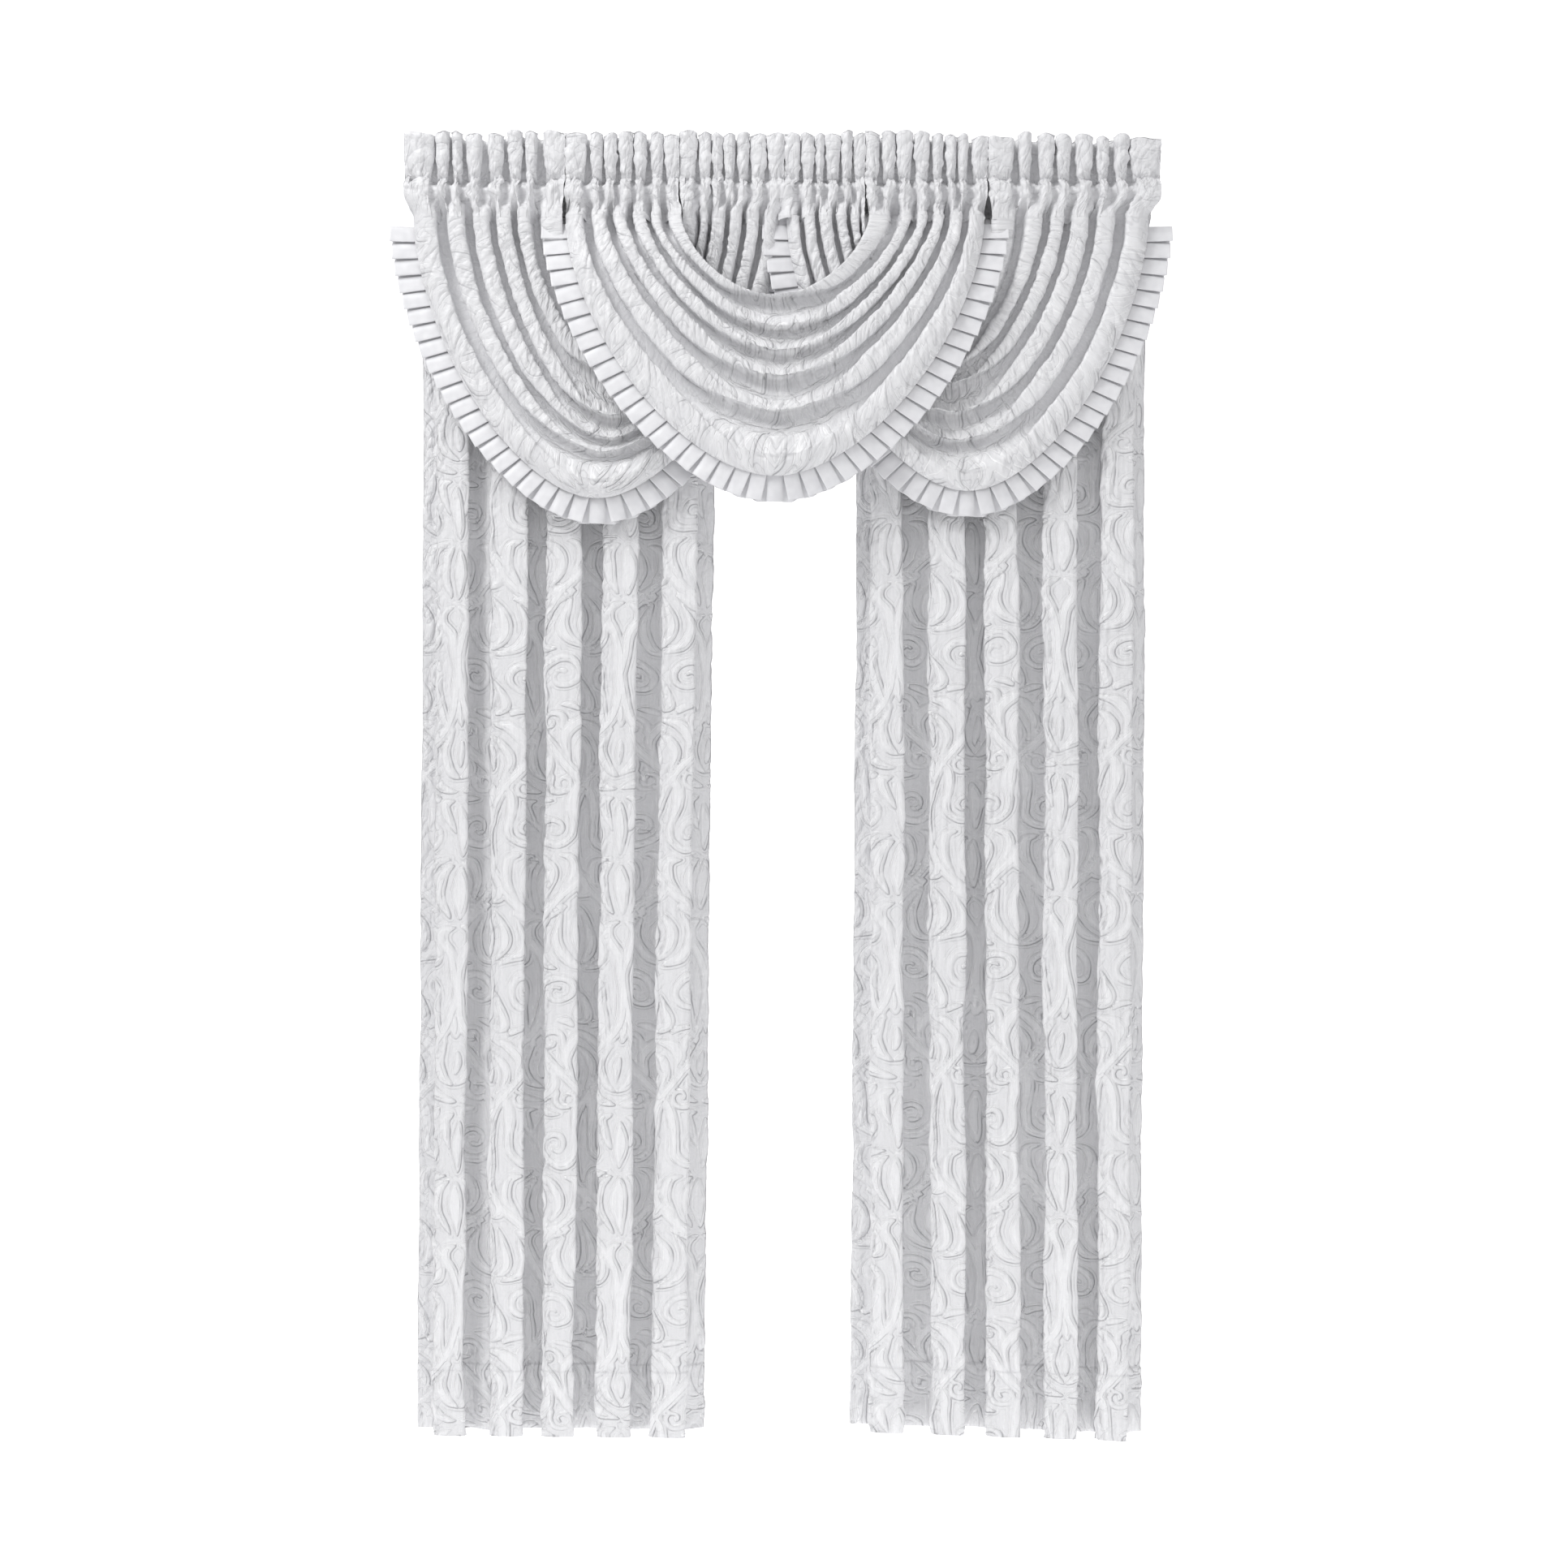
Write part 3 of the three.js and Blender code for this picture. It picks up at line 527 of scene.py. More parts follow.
def panel_controls(panel, z):
    """The control points (x, y) of the cuts across a panel at the heights z, from its left edge."""
    down = np.clip((FOLDS_SEEN - z) / (FOLDS_SEEN - FOLDS_LOW), 0, 1)
    opened = blend(1, PANEL_GATHERED, smooth(z, FOLDS_OPEN, SWAG_TOP))
    left_end = blend(panel["ends"][0], panel["ends"][2], down) + 1.5 * rumple(z / 120, panel["hem"][1])
    right_end = blend(panel["ends"][1], panel["ends"][3], down) + 1.5 * rumple(z / 120, panel["hem"][1], 1)
    edge = FOLD_BACK - SIDE_SLANT
    controls = [(left_end + 22, FOLD_BACK + 3), (left_end + 10, edge + 5), (left_end, edge + 3),
                (left_end - 1, edge), (left_end + 8, edge + 2)]
    edges = []
    for number, (left_top, right_top, left_foot, right_foot) in enumerate(panel["folds"]):
        turn = number + 7 * len(panel["name"])
        left = blend(left_top, left_foot, down)
        left = left + 2.5 * rumple(z / 170, turn) + 0.9 * rumple(z / 34, turn, 2)
        right = blend(right_top, right_foot, down)
        right = right + 2.5 * rumple(z / 170, turn, 1) + 0.9 * rumple(z / 34, turn, 3)
        wide = right - left
        edges.append(left)
        front = FOLD_FRONT + 2.0 * rumple(z / 210, turn, 4)
        near, far = panel["floors"][number]
        controls += [(left - 4, FOLD_BACK - far), (left + 9, FOLD_BACK - 7), (left + 1, front + 14),
                     (left - 1.5, front + 6), (left + 4, front + 2),
                     (left + wide * 0.36, front - 0.8), (left + wide * 0.64, front - 0.5),
                     (right - 4, front - 0.5), (right + 1.5, front + 3), (right - 1, front + 12),
                     (right - 9, FOLD_BACK - 7), (right + 4, FOLD_BACK - near)]
    edge = FOLD_BACK + SIDE_SLANT
    controls += [(right_end - 8, edge - 1.5), (right_end + 1, edge - 0.6), (right_end + 1, edge + 2.4),
                 (right_end - 8, edge + 2.5), (right_end - 22, edge + 1)]
    x = np.stack([np.broadcast_to(point[0], z.shape) for point in controls], -1)
    y = np.stack([np.broadcast_to(point[1], z.shape) for point in controls], -1)
    return x, y * opened[:, None], np.stack(edges, -1)


def panel_columns(panel):
    """The places of a panel's columns along its cut, closer on the fronts, and their places in the cloth."""
    x, y, _ = panel_controls(panel, np.array([FOLDS_SEEN * 2.0]))
    count = x.shape[1]
    place = np.linspace(0, count - 2 - 1e-6, 6000)
    weights = spline_weights(count, place)
    line = np.stack([weights @ x[0], weights @ y[0]], -1)
    along = lengths(line, 0)
    density = np.where(line[:, 1] < FOLD_FRONT + 7, 1.0, 0.42)
    crowd = np.cumsum(np.gradient(along) * density)
    chosen = np.interp(np.linspace(crowd[0], crowd[-1], PANEL_COLUMNS), crowd, place)
    return spline_weights(count, chosen), np.interp(chosen, place, along)


def panel_piece(panel):
    """A panel from behind its heading to its hem, and the layer that is turned up behind the hem."""
    hem_top = HEM_HEIGHT - PANEL_LENGTH
    upper = np.arange(SWAG_TOP, FOLDS_OPEN, -HIDDEN_ROW_STEP)
    lower = np.arange(FOLDS_OPEN, -PANEL_LENGTH + 1, -PANEL_ROW_STEP)
    # Rows lie close together at the hem's seam.
    seam = hem_top + np.array([2.6, 1.2, 0.4, -0.4, -1.2, -2.6])
    lower = lower[np.abs(lower - hem_top) > 3.5]
    lower = np.sort(np.concatenate([lower, seam, [-PANEL_LENGTH + 0.6]]))[::-1]
    turned = np.array([-PANEL_LENGTH, -PANEL_LENGTH + 0.6, *np.linspace(-PANEL_LENGTH + 6, hem_top - 3, 9)])
    z = np.concatenate([upper, lower, turned])
    behind = np.zeros_like(z)
    behind[-len(turned):] = HEM_LAYER
    behind[-len(turned)] = HEM_LAYER / 2

    weights, across = panel_columns(panel)
    across = across[None, :]
    x, y, edges = panel_controls(panel, z)
    points = np.stack([x @ weights.T, y @ weights.T, np.broadcast_to(z[:, None], (len(z), across.size))], -1)
    share = (points[..., 0] - points[..., :1, 0]) / (points[..., -1:, 0] - points[..., :1, 0])
    drop = blend(panel["hem"][0], panel["hem"][1], share) * smooth(-z, 1500, 2030)[:, None]
    points[..., 2] -= drop
    along = -z[:, None] + 40 * len(panel["name"])

    in_hem = smooth(z, hem_top + 1, hem_top - 1)[:, None]
    from_seam = np.abs(z - hem_top)[:, None]
    height = 0.7 * relief(damask_at(across, along))
    height = height + 0.9 * puff(across / 15, along / 55) + 0.6 * puff(across / 8, along / 22, 3)
    from_edge = np.min(np.abs(points[..., None, 0] - edges[:, None, :] - 6), axis=-1)
    crinkled = hump(from_edge, 9) * (points[..., 1] < FOLD_FRONT + 16)
    height = height + 2.6 * crinkled * puff(across / 8 + along / 70, along / 24, 8)
    loose = in_hem * smooth(from_seam, 0, 30)
    height = height + loose * 1.6 * puff(across / 34 + along / 50, along / 60, 5)
    height = height + 1.3 * in_hem - 0.4 * hump(from_seam, 1.6)
    height = height + 0.8 * rumple(across / 8, 0.5, 6) * hump(from_seam, 16)
    # The rows of the turned-up layer run upwards, so it faces the back, and lies that far behind the front.
    outward = facing(points)
    front = behind[:, None] == 0
    points = points + outward * np.where(front, height, behind[:, None] - 0.6 * height)[..., None]
    points += np.array([0, PANEL_ROD_BACK, PANEL_TOP])

    from_side = points[..., 0] - points[..., 0].min(axis=1, keepdims=True)
    # Crinkles, with painted shade in their creases, gather along the fold edges, at the panel's left side
    # and in the hem.
    crinkled = np.clip(0.08 + 0.8 * crinkled + 0.8 * smooth(from_side, 30, 14) + 0.15 * loose, 0, 1)
    node = f"panel_{panel['name']}"
    piece = sheet_object(f"cloth_{node}", points, across, along, damask, 1.0, crinkled)
    cut_length = PANEL_LENGTH - HEADING_HEIGHT + HEM_HEIGHT
    hang(piece, node, "damask", (across[0, -1], cut_length), "hung")
    row = int(np.argmin(np.abs(z[:len(upper) + len(lower)] - hem_top)))
    stitch_lines.append(points[row] + outward[row] * 0.9)


# Headings
def heading_wave(start, folds, front, recess, pinch, turn):
    """Control points of a gathered edge at one height: x, y and how far below the highest top each hangs."""
    controls = []
    left = start
    gap_before = None
    for number, (wide, gap, low) in enumerate(folds):
        narrow = pinch * wide
        inner_left = left + narrow
        inner_right = left + wide - narrow
        tilt = 2.5 * rumple(number * 1.7, 3.3 * turn, 2)
        deep = recess * (FRILL_RECESS + gap * RECESS_PER_GAP)
        if gap_before is None:
            controls += [(left + 15, front + 4, low + tilt), (left + 2, front + 4, low + tilt),
                         (left - 0.8, front + 2, low + tilt)]
        else:
            before = recess * (FRILL_RECESS + gap_before * RECESS_PER_GAP)
            controls += [(left - gap_before / 2, front + before, low + 4),
                         (inner_left + FRILL_TUCK, front + before * 0.7, low + 3 + tilt),
                         (inner_left - 0.8, front + before * 0.32, low + 1.5 + tilt)]
        controls += [(inner_left + 0.5, front + 2.4, low + 2 + tilt),
                     (inner_left + 4, front - 0.8, low + 0.4 + tilt),
                     (left + wide / 2, front - 2.6, low - 1),
                     (inner_right - 4, front - 0.8, low + 0.4 - tilt),
                     (inner_right - 0.5, front + 2.4, low + 2 - tilt)]
        if number < len(folds) - 1:
            controls += [(inner_right + 0.8, front + deep * 0.32, low + 1.5 - tilt),
                         (inner_right - FRILL_TUCK, front + deep * 0.7, low + 3 - tilt)]
        else:
            right = left + wide
            controls += [(right + 0.8, front + 2, low - tilt), (right - 2, front + 4, low - tilt),
                         (right - 15, front + 4, low - tilt)]
        left += wide + gap
        gap_before = gap
    return np.array(controls)


def swag_hold(heading, share):
    """Where a swag's folds meet its heading: points at shares of the heading's width from its left."""
    swag = SWAGS[heading["swag"]]
    last = len(swag["rows"]) - 1
    on_left = heading["side"] == 0
    place = np.linspace(0, last, 600)
    turn = np.full(600, 0.0 if on_left else math.pi)
    even = swag_points(swag, place, turn, False)[0][:, 0]
    line = swag_points(swag, place, turn)[0]
    width = (even - even[0]) / (even[-1] - even[0])
    at = np.interp(1 - share if on_left else share, width, place)
    return np.stack([np.interp(at, place, line[:, k]) for k in range(2)], -1)


def heading_piece(heading, place, turn, columns_per_fold):
    """A gathered heading, from its lower stitching up behind the rod, over the frill and down its front."""
    folds = heading["folds"]
    lean = heading["lean"]
    count = columns_per_fold * len(folds)

    def wave(front, recess, pinch):
        controls = heading_wave(heading["start"], folds, front, recess, pinch, turn)
        return spline_weights(len(controls), np.linspace(0, len(controls) - 2 - 1e-6, count)) @ controls

    stitched = wave(STITCH_FRONT, STITCH_RECESS, FRILL_PINCH)
    share = np.maximum.accumulate(stitched[:, 0])
    share = (share - share[0]) / (share[-1] - share[0])
    gathered = stitched[:, :2] + np.array([0, lean - STITCH_FRONT])
    held = swag_hold(heading, share) if "swag" in heading else gathered

    levels = [("back_pocket", k) for k in (1, 0.88, 0.5, 0.14, 0.04)]
    levels += [("back_frill", f) for f in (1, 0.8, 0.5, 0.25, 0.08, 0.02)]
    levels += [("frill", f) for f in (0, 0.012, 0.04, 0.09, *np.linspace(0.15, 0.9, 12), 0.95, 0.98, 1)]
    levels += [("pocket", k) for k in (0.02, 0.05, 0.09, *np.linspace(0.13, 0.94, 18), 0.97, 1, SEAM_LAP)]
    rows = []
    for part, down in levels:
        if part.endswith("frill"):
            front = blend(FRILL_FRONT, STITCH_FRONT, down ** 1.4)
            line = wave(front, blend(1.0, STITCH_RECESS, down), FRILL_PINCH * smooth(down, 0.5, 1))
            half = blend(FRILL_OPEN * smooth(down, 0, 0.05), STITCH_OPEN, smooth(down, 0.3, 1))
            z = -blend(line[:, 2], FRILL_HEIGHT, down)
            y = line[:, 1] + (half if part == "back_frill" else -half)
            rows.append(np.stack([line[:, 0], y, z], -1))
            continue
        turned = smooth(down, 0.4, 0.98)
        lap = heading.get("lap", 0) * smooth(down, 0, 0.3) * (1 - share) ** 6
        x = blend(stitched[:, 0], held[:, 0], turned) - lap
        y = blend(stitched[:, 1], held[:, 1], turned)
        swell = smooth(down, 0, 0.25) * (1 - smooth(down, 0.75, 1))
        if part == "pocket":
            middle = np.mean(y)
            y = y - STITCH_OPEN * (1 - turned) + swell * (POCKET_FRONT - middle) + 1.5 * (down > 1)
        else:
            swell = smooth(down, 0, 0.14) * (1 - smooth(down, 0.86, 1))
            y = blend(y + STITCH_OPEN, POCKET_BACK, swell)
        rows.append(np.stack([x, y, np.full(count, -FRILL_HEIGHT - POCKET_HEIGHT * down)], -1))
    points = np.array(rows)

    top = levels.index(("frill", 0))
    across = lengths(points[top + 8][None], 1)
    along = lengths(points, 0).mean(axis=1)[:, None]
    x, z = points[..., 0], points[..., 2]
    front_side = np.arange(len(levels))[:, None] >= top
    below = -z - FRILL_HEIGHT
    near_upper = hump(below, 14)
    near_lower = hump(below - POCKET_HEIGHT, 9)
    puckers = 3.2 * puff(x / 9 + z / 80, z / 34, turn) + 1.2 * puff(x / 6 - z / 40, z / 20, turn + 1)
    slants = 2.2 * puff(across / 26 + z / 15, z / 30 - across / 60, turn + 2)
    slants = slants + puff(across / 9, z / 9, turn + 3)
    height = slants * blend(0.8, 0.7, smooth(below, -2, 6))
    height = height + puckers * smooth(below, -10, 4) * (0.4 + 0.6 * near_upper)
    sewn = hump(below, 2.2)
    height = height * (1 - 0.9 * near_lower) - 1.2 * sewn
    raised = 0.4 * relief(damask_at(across + 90 * turn, along))
    height = np.where(front_side, height + raised, 0.3 * height)
    outward = facing(points)
    points = points + outward * height[..., None] + place
    node = heading["node"]
    calm = 1 - hump(below - POCKET_HEIGHT, 16)
    # The cloth is most crinkled just under the upper stitching, with the most painted shade in its creases.
    piece = sheet_object(f"cloth_{node}", points, across + 90 * turn, along, damask, 0.1 + 0.3 * calm,
                         np.clip(0.25 + 0.4 * calm + 0.6 * near_upper, 0, 1))
    hang(piece, node, "damask", (float(across[0, -1]), float(along[-1, 0])), "gathered")
    if "swag" in heading:
        for row, on_ridge in ((levels.index(("frill", 1)), 0.5), (len(levels) - 3, -2.5)):
            raised = np.where(points[row][:, 1] < points[row][:, 1].mean(), on_ridge, 0.5)
            stitch_lines.append(points[row] + outward[row] * raised[:, None])


# Swags
def fold_section(place, bottom, tube):
    """A fold's height from -1 to 1, and how far its flanks are drawn in, where ridges lie at even places.
    A ridge drops sharply on its lower side; the hollow then rises slowly to the next ridge, and at the
    bottom of the bow, where bottom is 1, it runs on up to it without a step. tube is the ridges' share of
    the cloth beside the headings."""
    below = (place / 2) % 1
    tube = tube + 0.06 * rumple(np.round(place / 2) * 1.37, tube * 9)
    lower_edge = blend(tube / 2, 0.05, bottom) + (place < 1.5) * 0.04
    upper_edge = 1 - blend(tube / 2, 0.02, bottom)
    rising = np.clip((below - lower_edge) / (upper_edge - lower_edge), 0, 1)
    slope = -1 + blend(0.5 * rising ** 1.2, 2 * rising ** 0.95, bottom)
    past_middle = below >= (lower_edge + upper_edge) / 2
    from_crest = np.where(past_middle, (1 - below) / (1 - upper_edge), below / lower_edge)
    crest = np.sqrt(np.clip(1 - from_crest ** 4, 0, 1))
    height = blend(slope, 1, crest)
    drawn = -0.13 * hump(below - lower_edge, 0.07)
    drawn = drawn + blend(0.11, 0, bottom) * hump(below - upper_edge, 0.06)
    return height, drawn


def swag_points(swag, place, turn, folded=True):
    """Points of a swag's cloth in mm, and its folds' height from -1 to 1. place counts its rows from the
    slack edge, and turn goes from 0 at its left heading to pi at its right one."""
    rows = np.array(swag["rows"], float)
    last = len(rows) - 1
    place, turn = np.broadcast_arrays(place, turn)
    fall = np.minimum(turn, math.pi - turn) / (math.pi / 2)
    leaving = smooth(fall, 0, LEAVE_HEADING)
    down = smooth(fall, NEAR_BOTTOM, 1)
    cosine = np.cos(turn)
    sides = [np.where(cosine > 0, a, b) for a, b in zip(swag["left_side"], swag["right_side"])]
    head, depth, fold, tube = sides
    height, drawn = fold_section(place, smooth(fall, *TIERS), tube)
    inner = smooth(place, last - 1.2, last - 0.8)
    height = blend(height, np.cos(math.pi / 2 * np.clip(place - last + 1, 0, 1)), inner)
    height = np.where(place < 0, np.cos(math.pi * place), height)
    drawn = np.where(place < 0, 0, drawn * (1 - inner))
    held = np.clip(place + drawn * 2 * folded, 0, last)
    left, right, low, roundness = (through(rows[:, k], held) for k in range(4))
    power = 2 / roundness
    aside = cosine * ((cosine ** 2 + BOW_ROUND ** 2) / (1 + BOW_ROUND ** 2)) ** ((power - 1) / 2)
    x = (left + right) / 2 - (right - left) / 2 * aside
    z = SWAG_TOP + (low - SWAG_TOP) * np.abs(np.sin(turn)) ** power
    depth = blend(blend(head, depth, leaving), swag["bottom"], down)
    apart = np.abs(2 * np.gradient(rows[:, 2]))
    shallow = np.clip(through(apart, held) / RIDGES_APART, 0.4, 1)
    fold = SWAG_DEEPER * blend(blend(FOLD_AT_HEADING, fold, leaving), FOLD_AT_BOTTOM * shallow, down)
    return np.stack([x, depth - fold * height, z], -1), height


def swag_piece(swag, number):
    """A swag with its crumpled ridges, the gathers at its seam and the damask that it shows."""
    last = len(swag["rows"]) - 1
    turns = np.linspace(0, math.pi, 2000)
    bow = lengths(swag_points(swag, np.full(2000, last * 0.6), turns)[0], 0)
    turn = np.interp(np.linspace(0, bow[-1], SWAG_COLUMNS), bow, turns)[None, :]
    places = np.linspace(-0.6, last, 4000)
    down_side = lengths(swag_points(swag, places, np.full(4000, math.pi * 0.2))[0], 0)
    place = np.interp(np.linspace(0, down_side[-1], SWAG_ROWS), down_side, places)[:, None]

    fall = np.minimum(turn, math.pi - turn) / (math.pi / 2)
    along_bow = np.interp(turn, turns, bow) - bow[-1] / 2
    down_cloth = np.interp(place, places, down_side)
    free = smooth(place, 0, 0.6) * (1 - smooth(place, last - 0.7, last)) * smooth(fall, 0, 0.15)
    ragged = 0.04 * rumple(along_bow / 9, place * 1.3, number)
    ragged = ragged + 0.12 * rumple(along_bow / 45, place, number + 4)
    points, wave = swag_points(swag, place + ragged * free, turn)
    patches = np.cross(np.diff(points[:, :-1], axis=0), np.diff(points[:-1], axis=1))
    cut_area = float(np.linalg.norm(patches, axis=-1).sum()) * MM * MM
    cut_size = float(lengths(points, 1)[:, -1].max()), float(lengths(points, 0)[-1].max())

    bottom = smooth(fall, *TIERS)
    ridge = smooth(wave, -0.5, 0.6)
    slant = along_bow + 0.7 * np.sign(along_bow) * down_cloth
    crumple = puff(slant / 13, down_cloth / 28, number + 6)
    crumple = crumple + 0.4 * puff(slant / 7, down_cloth / 14, number + 7)
    dents = 1.6 * rumple(along_bow / 60, down_cloth / 40, number + 9)
    seam = smooth(place, last - 0.9, last)
    gathers = 2.4 * puff(along_bow / 9, 0.5, number + 8) * seam * (1 - smooth(place, last - 0.08, last))
    height = crumple * blend(ridge, 0.3 + 0.4 * ridge, bottom) * smooth(fall, 0, 0.1) * (1 - 0.5 * seam)
    height = (height + gathers + dents * free) * np.where(place < 0, 0.3, 1)
    points = points + facing(points) * height[..., None]
    leaving = smooth(fall, 0, 0.12)
    shown = blend(blend(0.25 + 0.35 * ridge, 1.15, bottom), 1.15, seam * leaving) * blend(0.3, 1, leaving)
    # Crinkles, with painted shade in their creases, are strongest on the ridges.
    crinkled = blend(0.2 + 0.5 * ridge, 0.35 + 0.65 * ridge ** 3, np.maximum(bottom, seam))
    # The figures fade where the cloth is squeezed into the shorter rows near the slack edge.
    row_long = lengths(swag_points(swag, place, turn, False)[0], 1)[:, -1:]
    roomy = smooth(row_long / bow[-1], 0.3, 0.8)
    shown = shown * blend(0.25, 1, roomy)
    crinkled = crinkled * blend(0.3, 1, roomy)
    node = f"swag_{swag['name']}"
    piece = sheet_object(f"cloth_{node}", points, along_bow, down_cloth, damask, shown, crinkled, SWAG_PAINTED_HIGHLIGHT)
    # A swag is cut wider along its seam than along its slack edge, so its area is given as well.
    hang(piece, node, "damask", cut_size, "draped", area=cut_area)


# Trim
def trim_piece(swag, number):
    """Knife pleats that run from both ends of the seam to its bottom, each over the next."""
    last = len(swag["rows"]) - 1
    low, roundness = swag["rows"][last][2:]
    start = math.asin((TRIM_START / (SWAG_TOP - low)) ** (roundness / 2))
    turn = np.linspace(start, math.pi - start, 1500)
    seam = swag_points(swag, np.full(1500, float(last)), turn)[0]
    along = lengths(seam, 0)
    pleats = 2 * round(along[-1] / PLEAT_PITCH / 2) + 1
    pitch = along[-1] / pleats
    jitter = np.random.default_rng(40 + number).uniform(-1, 1, (pleats, 4))

    def on_seam(place):
        return np.array([np.interp(place, along, seam[:, k]) for k in range(3)])

    reach = np.array([-TRIM_LAP, 1, 7, 14, 21, 28, 34, 38.5, 40.6, TRIM_DEPTH, 40.4, 34])
    hemmed = np.array([0, 0, 0, 0, 0, 0, 0, 0, 0.1, 0.6, 1.1, 1.3])
    columns = []
    for i in range(pleats):
        centre = (i + 0.5) * pitch
        side = np.sign(i - pleats // 2)
        at = on_seam(centre)
        step = on_seam(centre + 8) - on_seam(centre - 8)
        swing = math.atan2(step[2], step[0]) + side * PLEAT_TURN * min(1, abs(i - pleats // 2) / 6)
        swing += math.radians(1.6) * jitter[i, 0]
        tangent = np.array([math.cos(swing), 0, math.sin(swing)])
        outward = np.array([tangent[2], 0, -tangent[0]])
        half = pitch / 2
        # Across a pleat from its hidden start to its folded edge and back under it: place and depth.
        run = [(-half - PLEAT_UNDER, 6.6), (-half - 1, 6.4), (-half + 0.8, 4.2), (-half + 2.5, 2.4),
               (0, 1.2), (half * 0.6, 0.4), (half - 1.6, -0.3), (half - 0.3, -0.1), (half, 0.6),
               (half - 0.4, 1.3), (half - 3, 1.8), (half - PLEAT_UNDER + 1, 4.6)]
        if side > 0:
            run = [(-place, depth) for place, depth in reversed(run)]
        if side == 0:
            run = [(-half - PLEAT_UNDER, 6.6), (-half - 0.5, 6.0), (-half + 1.8, 3.4), (0, 2.4),
                   (half - 1.8, 3.4), (half + 0.5, 6.0), (half + PLEAT_UNDER, 6.6)]
        # A strip's end is cut off square where it shows, away from the middle of the valance.
        cut_off = abs(at[0]) > TRIM_CUT_BEYOND
        left_end = -half if cut_off and i == 0 else -2 * pitch
        right_end = half if cut_off and i == pleats - 1 else 2 * pitch
        for place, depth in run:
            place = min(max(place, left_end), right_end)
            lifted = (1.6 + jitter[i, 1]) * (reach / TRIM_DEPTH).clip(0) ** 2 * (1.6 - depth * 0.3)
            waved = 0.5 * jitter[i, 2] * np.sin(reach / 9 + place / 8 + 3 * jitter[i, 3])
            tilted = TRIM_BEHIND + depth + hemmed - lifted * 0.8 + waved
            tilted += on_seam(centre + place)[1] - at[1]
            line = at + tangent * place + outward * reach[:, None]
            line[:, 1] += tilted
            columns.append(line)
    points = np.stack(columns, 1)
    across = lengths(points[3][None], 1)
    node = f"trim_{swag['name']}"
    piece = sheet_object(f"ribbon_{node}", points, across, lengths(points, 0).mean(1)[:, None], satin)
    hang(piece, node, "trim_satin", (float(across[0, -1]), TRIM_DEPTH + TRIM_LAP + TRIM_HEM), "folded")


# Stitching
def stitch_tree():
    """Geometry nodes that lay small rounded stitches along lines, with the thread's material."""
    tree = bpy.data.node_groups.new("stitch_rows", "GeometryNodeTree")
    tree.interface.new_socket("Lines", in_out="INPUT", socket_type="NodeSocketGeometry")
    for name in ("Pitch", "Length", "Thickness"):
        tree.interface.new_socket(name, in_out="INPUT", socket_type="NodeSocketFloat")
    tree.interface.new_socket("Stitches", in_out="OUTPUT", socket_type="NodeSocketGeometry")
    given = tree.nodes.new("NodeGroupInput").outputs
    add = partial(add_node, tree)
    line = add("GeometryNodeMeshToCurve", {"Mesh": given["Lines"]})
    line = add("GeometryNodeResampleCurve", {"Curve": line, "Length": given["Pitch"]}, mode="LENGTH")
    heading = add("GeometryNodeInputTangent")
    turned = add("FunctionNodeAlignRotationToVector", {"Vector": heading}, axis="X")
    size = add("ShaderNodeCombineXYZ", {
        "X": given["Length"], "Y": given["Thickness"], "Z": given["Thickness"]})
    bead = add("GeometryNodeMeshUVSphere", {"Segments": 5, "Rings": 3, "Radius": 0.5})
    stitches = add("GeometryNodeInstanceOnPoints", {
        "Points": line, "Instance": bead, "Rotation": turned, "Scale": size})
    stitches = add("GeometryNodeRealizeInstances", {"Geometry": stitches})
    stitches = add("GeometryNodeSetMaterial", {"Geometry": stitches, "Material": thread})
    add("NodeGroupOutput", {"Stitches": stitches})
    return tree


def stitching_piece(lines):
    """All the rows of stitching as one mesh."""
    tree = stitch_tree()
    mesh = bpy.data.meshes.new("stitch_lines")
    starts = np.cumsum([0] + [len(line) for line in lines])
    edges = [(s + k, s + k + 1) for s, line in zip(starts, lines) for k in range(len(line) - 1)]
    mesh.from_pydata((np.concatenate(lines) * MM).tolist(), edges, [])
    rows = new_object("stitch_lines", mesh)
    modifier = rows.modifiers.new("stitches", "NODES")
    modifier.node_group = tree
    sizes = {"Pitch": 4.4 * MM, "Length": 3.4 * MM, "Thickness": 0.9 * MM}
    for item in tree.interface.items_tree:
        if item.in_out == "INPUT" and item.name in sizes:
            modifier[item.identifier] = sizes[item.name]
    made = bpy.data.meshes.new_from_object(rows.evaluated_get(bpy.context.evaluated_depsgraph_get()))
    bpy.data.objects.remove(rows)
    made.name = "stitching"
    piece = new_object("stitching", made)
    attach(piece, "root")


for panel in PANELS:
    panel_piece(panel)
    panel_folds = [(wide, PANEL_FRILL_GAP if i < len(PANEL_FRILLS) - 1 else 0, low)
                   for i, (wide, low) in enumerate(PANEL_FRILLS)]
    panel_heading = {"node": f"panel_{panel['name']}_heading", "start": panel["ends"][0], "lean": 0,
                     "folds": panel_folds}
    heading_piece(panel_heading, np.array([0, PANEL_ROD_BACK, PANEL_TOP]), 9 + len(panel["name"]),
                  PANEL_COLUMNS_PER_FOLD)
for number, heading in enumerate(HEADINGS):
    heading_piece(heading, np.zeros(3), number, COLUMNS_PER_FOLD)
for number, swag in enumerate(SWAGS):
    swag_piece(swag, 20 + 10 * number)
    trim_piece(swag, number)
stitching_piece(stitch_lines)


# Studio
STUDIO_RADIUS = 7.0
STUDIO_FLOOR = -2.36
STUDIO_COVE = 2.0
STUDIO_TOP = 4.5
SOFT_LIGHT = 0.48  # from all sides


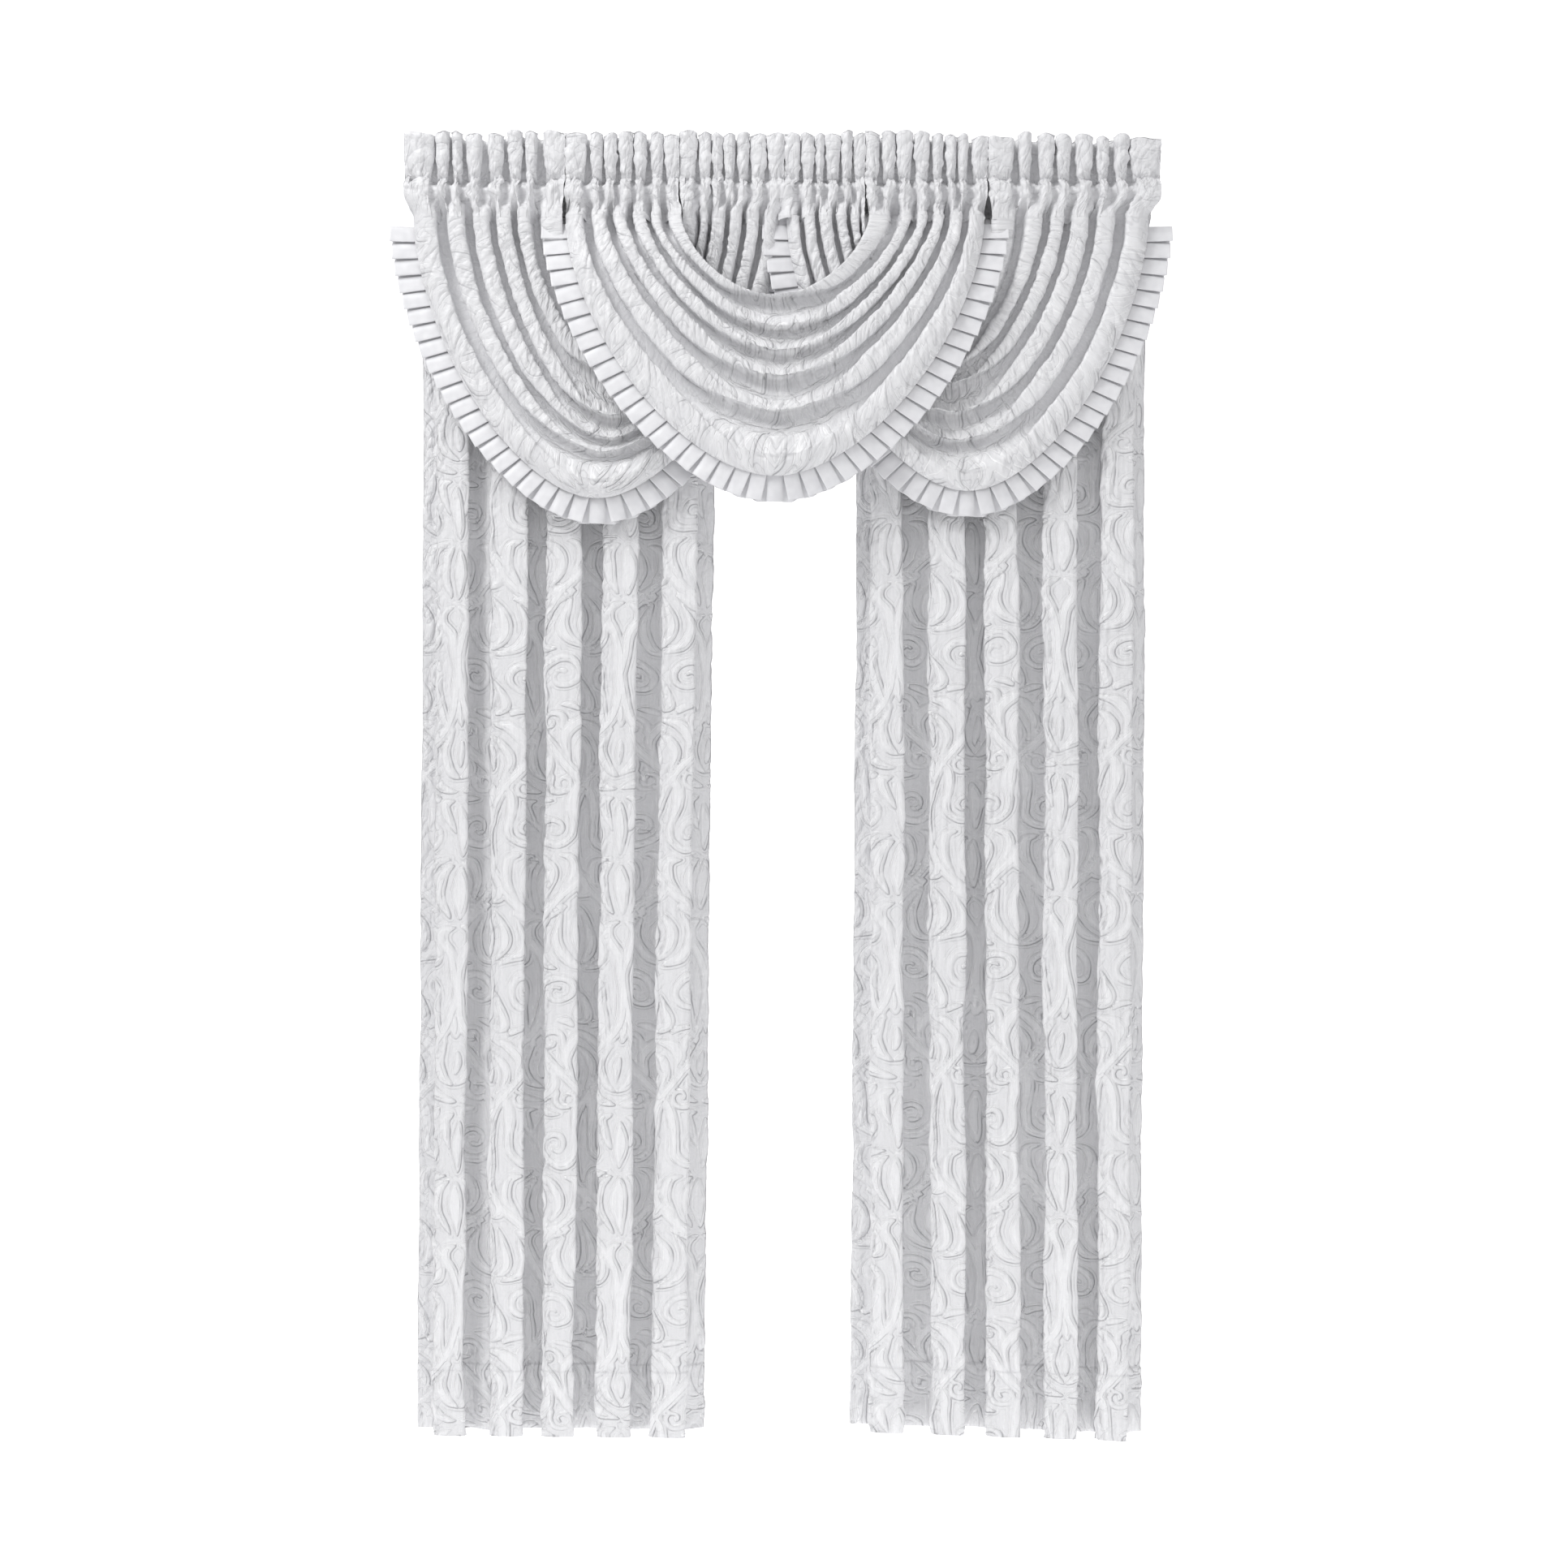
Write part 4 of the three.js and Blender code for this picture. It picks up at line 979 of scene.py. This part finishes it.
def studio():
    """A round studio: a pale floor that sweeps up into its wall without a line."""
    bends = np.linspace(-math.pi / 2, 0, 9)
    cove = [(STUDIO_RADIUS + STUDIO_COVE * (math.cos(b) - 1), STUDIO_FLOOR + STUDIO_COVE * (math.sin(b) + 1))
            for b in bends]
    profile = [(0.02, STUDIO_FLOOR), (2.0, STUDIO_FLOOR), *cove, (STUDIO_RADIUS, STUDIO_TOP)]
    sides = 48
    points = [(r * math.sin(2 * math.pi * k / sides), r * math.cos(2 * math.pi * k / sides), z)
              for r, z in profile for k in range(sides)]
    faces = [tuple(reversed(range(sides)))]
    for ring in range(0, (len(profile) - 1) * sides, sides):
        for k in range(sides):
            beside = (k + 1) % sides
            faces.append((ring + k, ring + beside, ring + sides + beside, ring + sides + k))
    mesh = bpy.data.meshes.new("studio")
    mesh.from_pydata(points, [], faces, shade_flat=False)
    material, add = new_material("studio_paint")
    place = add("ShaderNodeTexCoord", out="Object")
    grain = add("ShaderNodeTexNoise", {"Vector": place, "Scale": 40.0})
    rough = add("ShaderNodeMapRange", {"Value": grain, "To Min": 0.85, "To Max": 0.95})
    # A wedge of floor and wall behind the curtains glows, and the rest is dimmer, so folds keep their shade.
    across, back = (add("ShaderNodeSeparateXYZ", {"Vector": place}, axis) for axis in ("X", "Y"))
    aside = add("ShaderNodeMath", {0: across}, operation="ABSOLUTE")
    aside = add("ShaderNodeMath", {0: back, 1: -0.45, 2: aside}, operation="MULTIPLY_ADD")
    glow = add("ShaderNodeMapRange", {
        "Value": aside, "From Min": 1.6, "From Max": 3.2, "To Min": 0.9, "To Max": 0.2},
        interpolation_type="SMOOTHSTEP")
    shader = add("ShaderNodeBsdfPrincipled", {
        "Base Color": linear(STUDIO_GREY), "Roughness": rough, "Emission Color": (1, 1, 1, 1),
        "Emission Strength": glow})
    add("ShaderNodeOutputMaterial", {"Surface": shader})
    # The walls are all round the curtains, so rays find their glow without aiming at it.
    material.cycles.emission_sampling = "NONE"
    mesh.materials.append(material)
    room = new_object("studio", mesh)


def softbox(name, place, aim, size, power):
    lamp = bpy.data.lights.new(name, "AREA")
    lamp.shape = "RECTANGLE"
    lamp.size, lamp.size_y = size
    lamp.energy = power
    light = new_object(name, lamp)
    light.location = place
    light.rotation_euler = (Vector(aim) - Vector(place)).to_track_quat("-Z", "Y").to_euler()


studio()
world = bpy.data.worlds.new("studio_light")
world.use_nodes = True
world.node_tree.nodes["Background"].inputs["Color"].default_value = (1, 1, 1, 1)
world.node_tree.nodes["Background"].inputs["Strength"].default_value = SOFT_LIGHT
bpy.context.scene.world = world
softbox("left_light", (-2.7, -2.6, 2.4), (0, 0, -1.0), (0.9, 0.9), 62)
softbox("right_light", (2.9, -3.0, 2.2), (0, 0, -1.0), (1.2, 1.2), 24)
softbox("top_light", (-1.7, -1.3, 2.4), (0, 0, -0.5), (0.9, 0.9), 34)

# Camera: level with the middle of the picture and 3.2 m in front of the valance
PHOTO_WIDTH_MM = 1932 * 1.326  # the picture's width at the valance
CAMERA_DISTANCE = 3200
camera_data = bpy.data.cameras.new("camera")
camera_data.lens = camera_data.sensor_width * CAMERA_DISTANCE / PHOTO_WIDTH_MM
camera_data.clip_end = 60
camera = new_object("camera", camera_data)
camera.location = (2.65 * MM, -CAMERA_DISTANCE * MM, -1063.4 * MM)
camera.rotation_euler = (math.pi / 2, 0, 0)
bpy.context.scene.camera = camera
bpy.context.scene.view_settings.view_transform = "Standard"
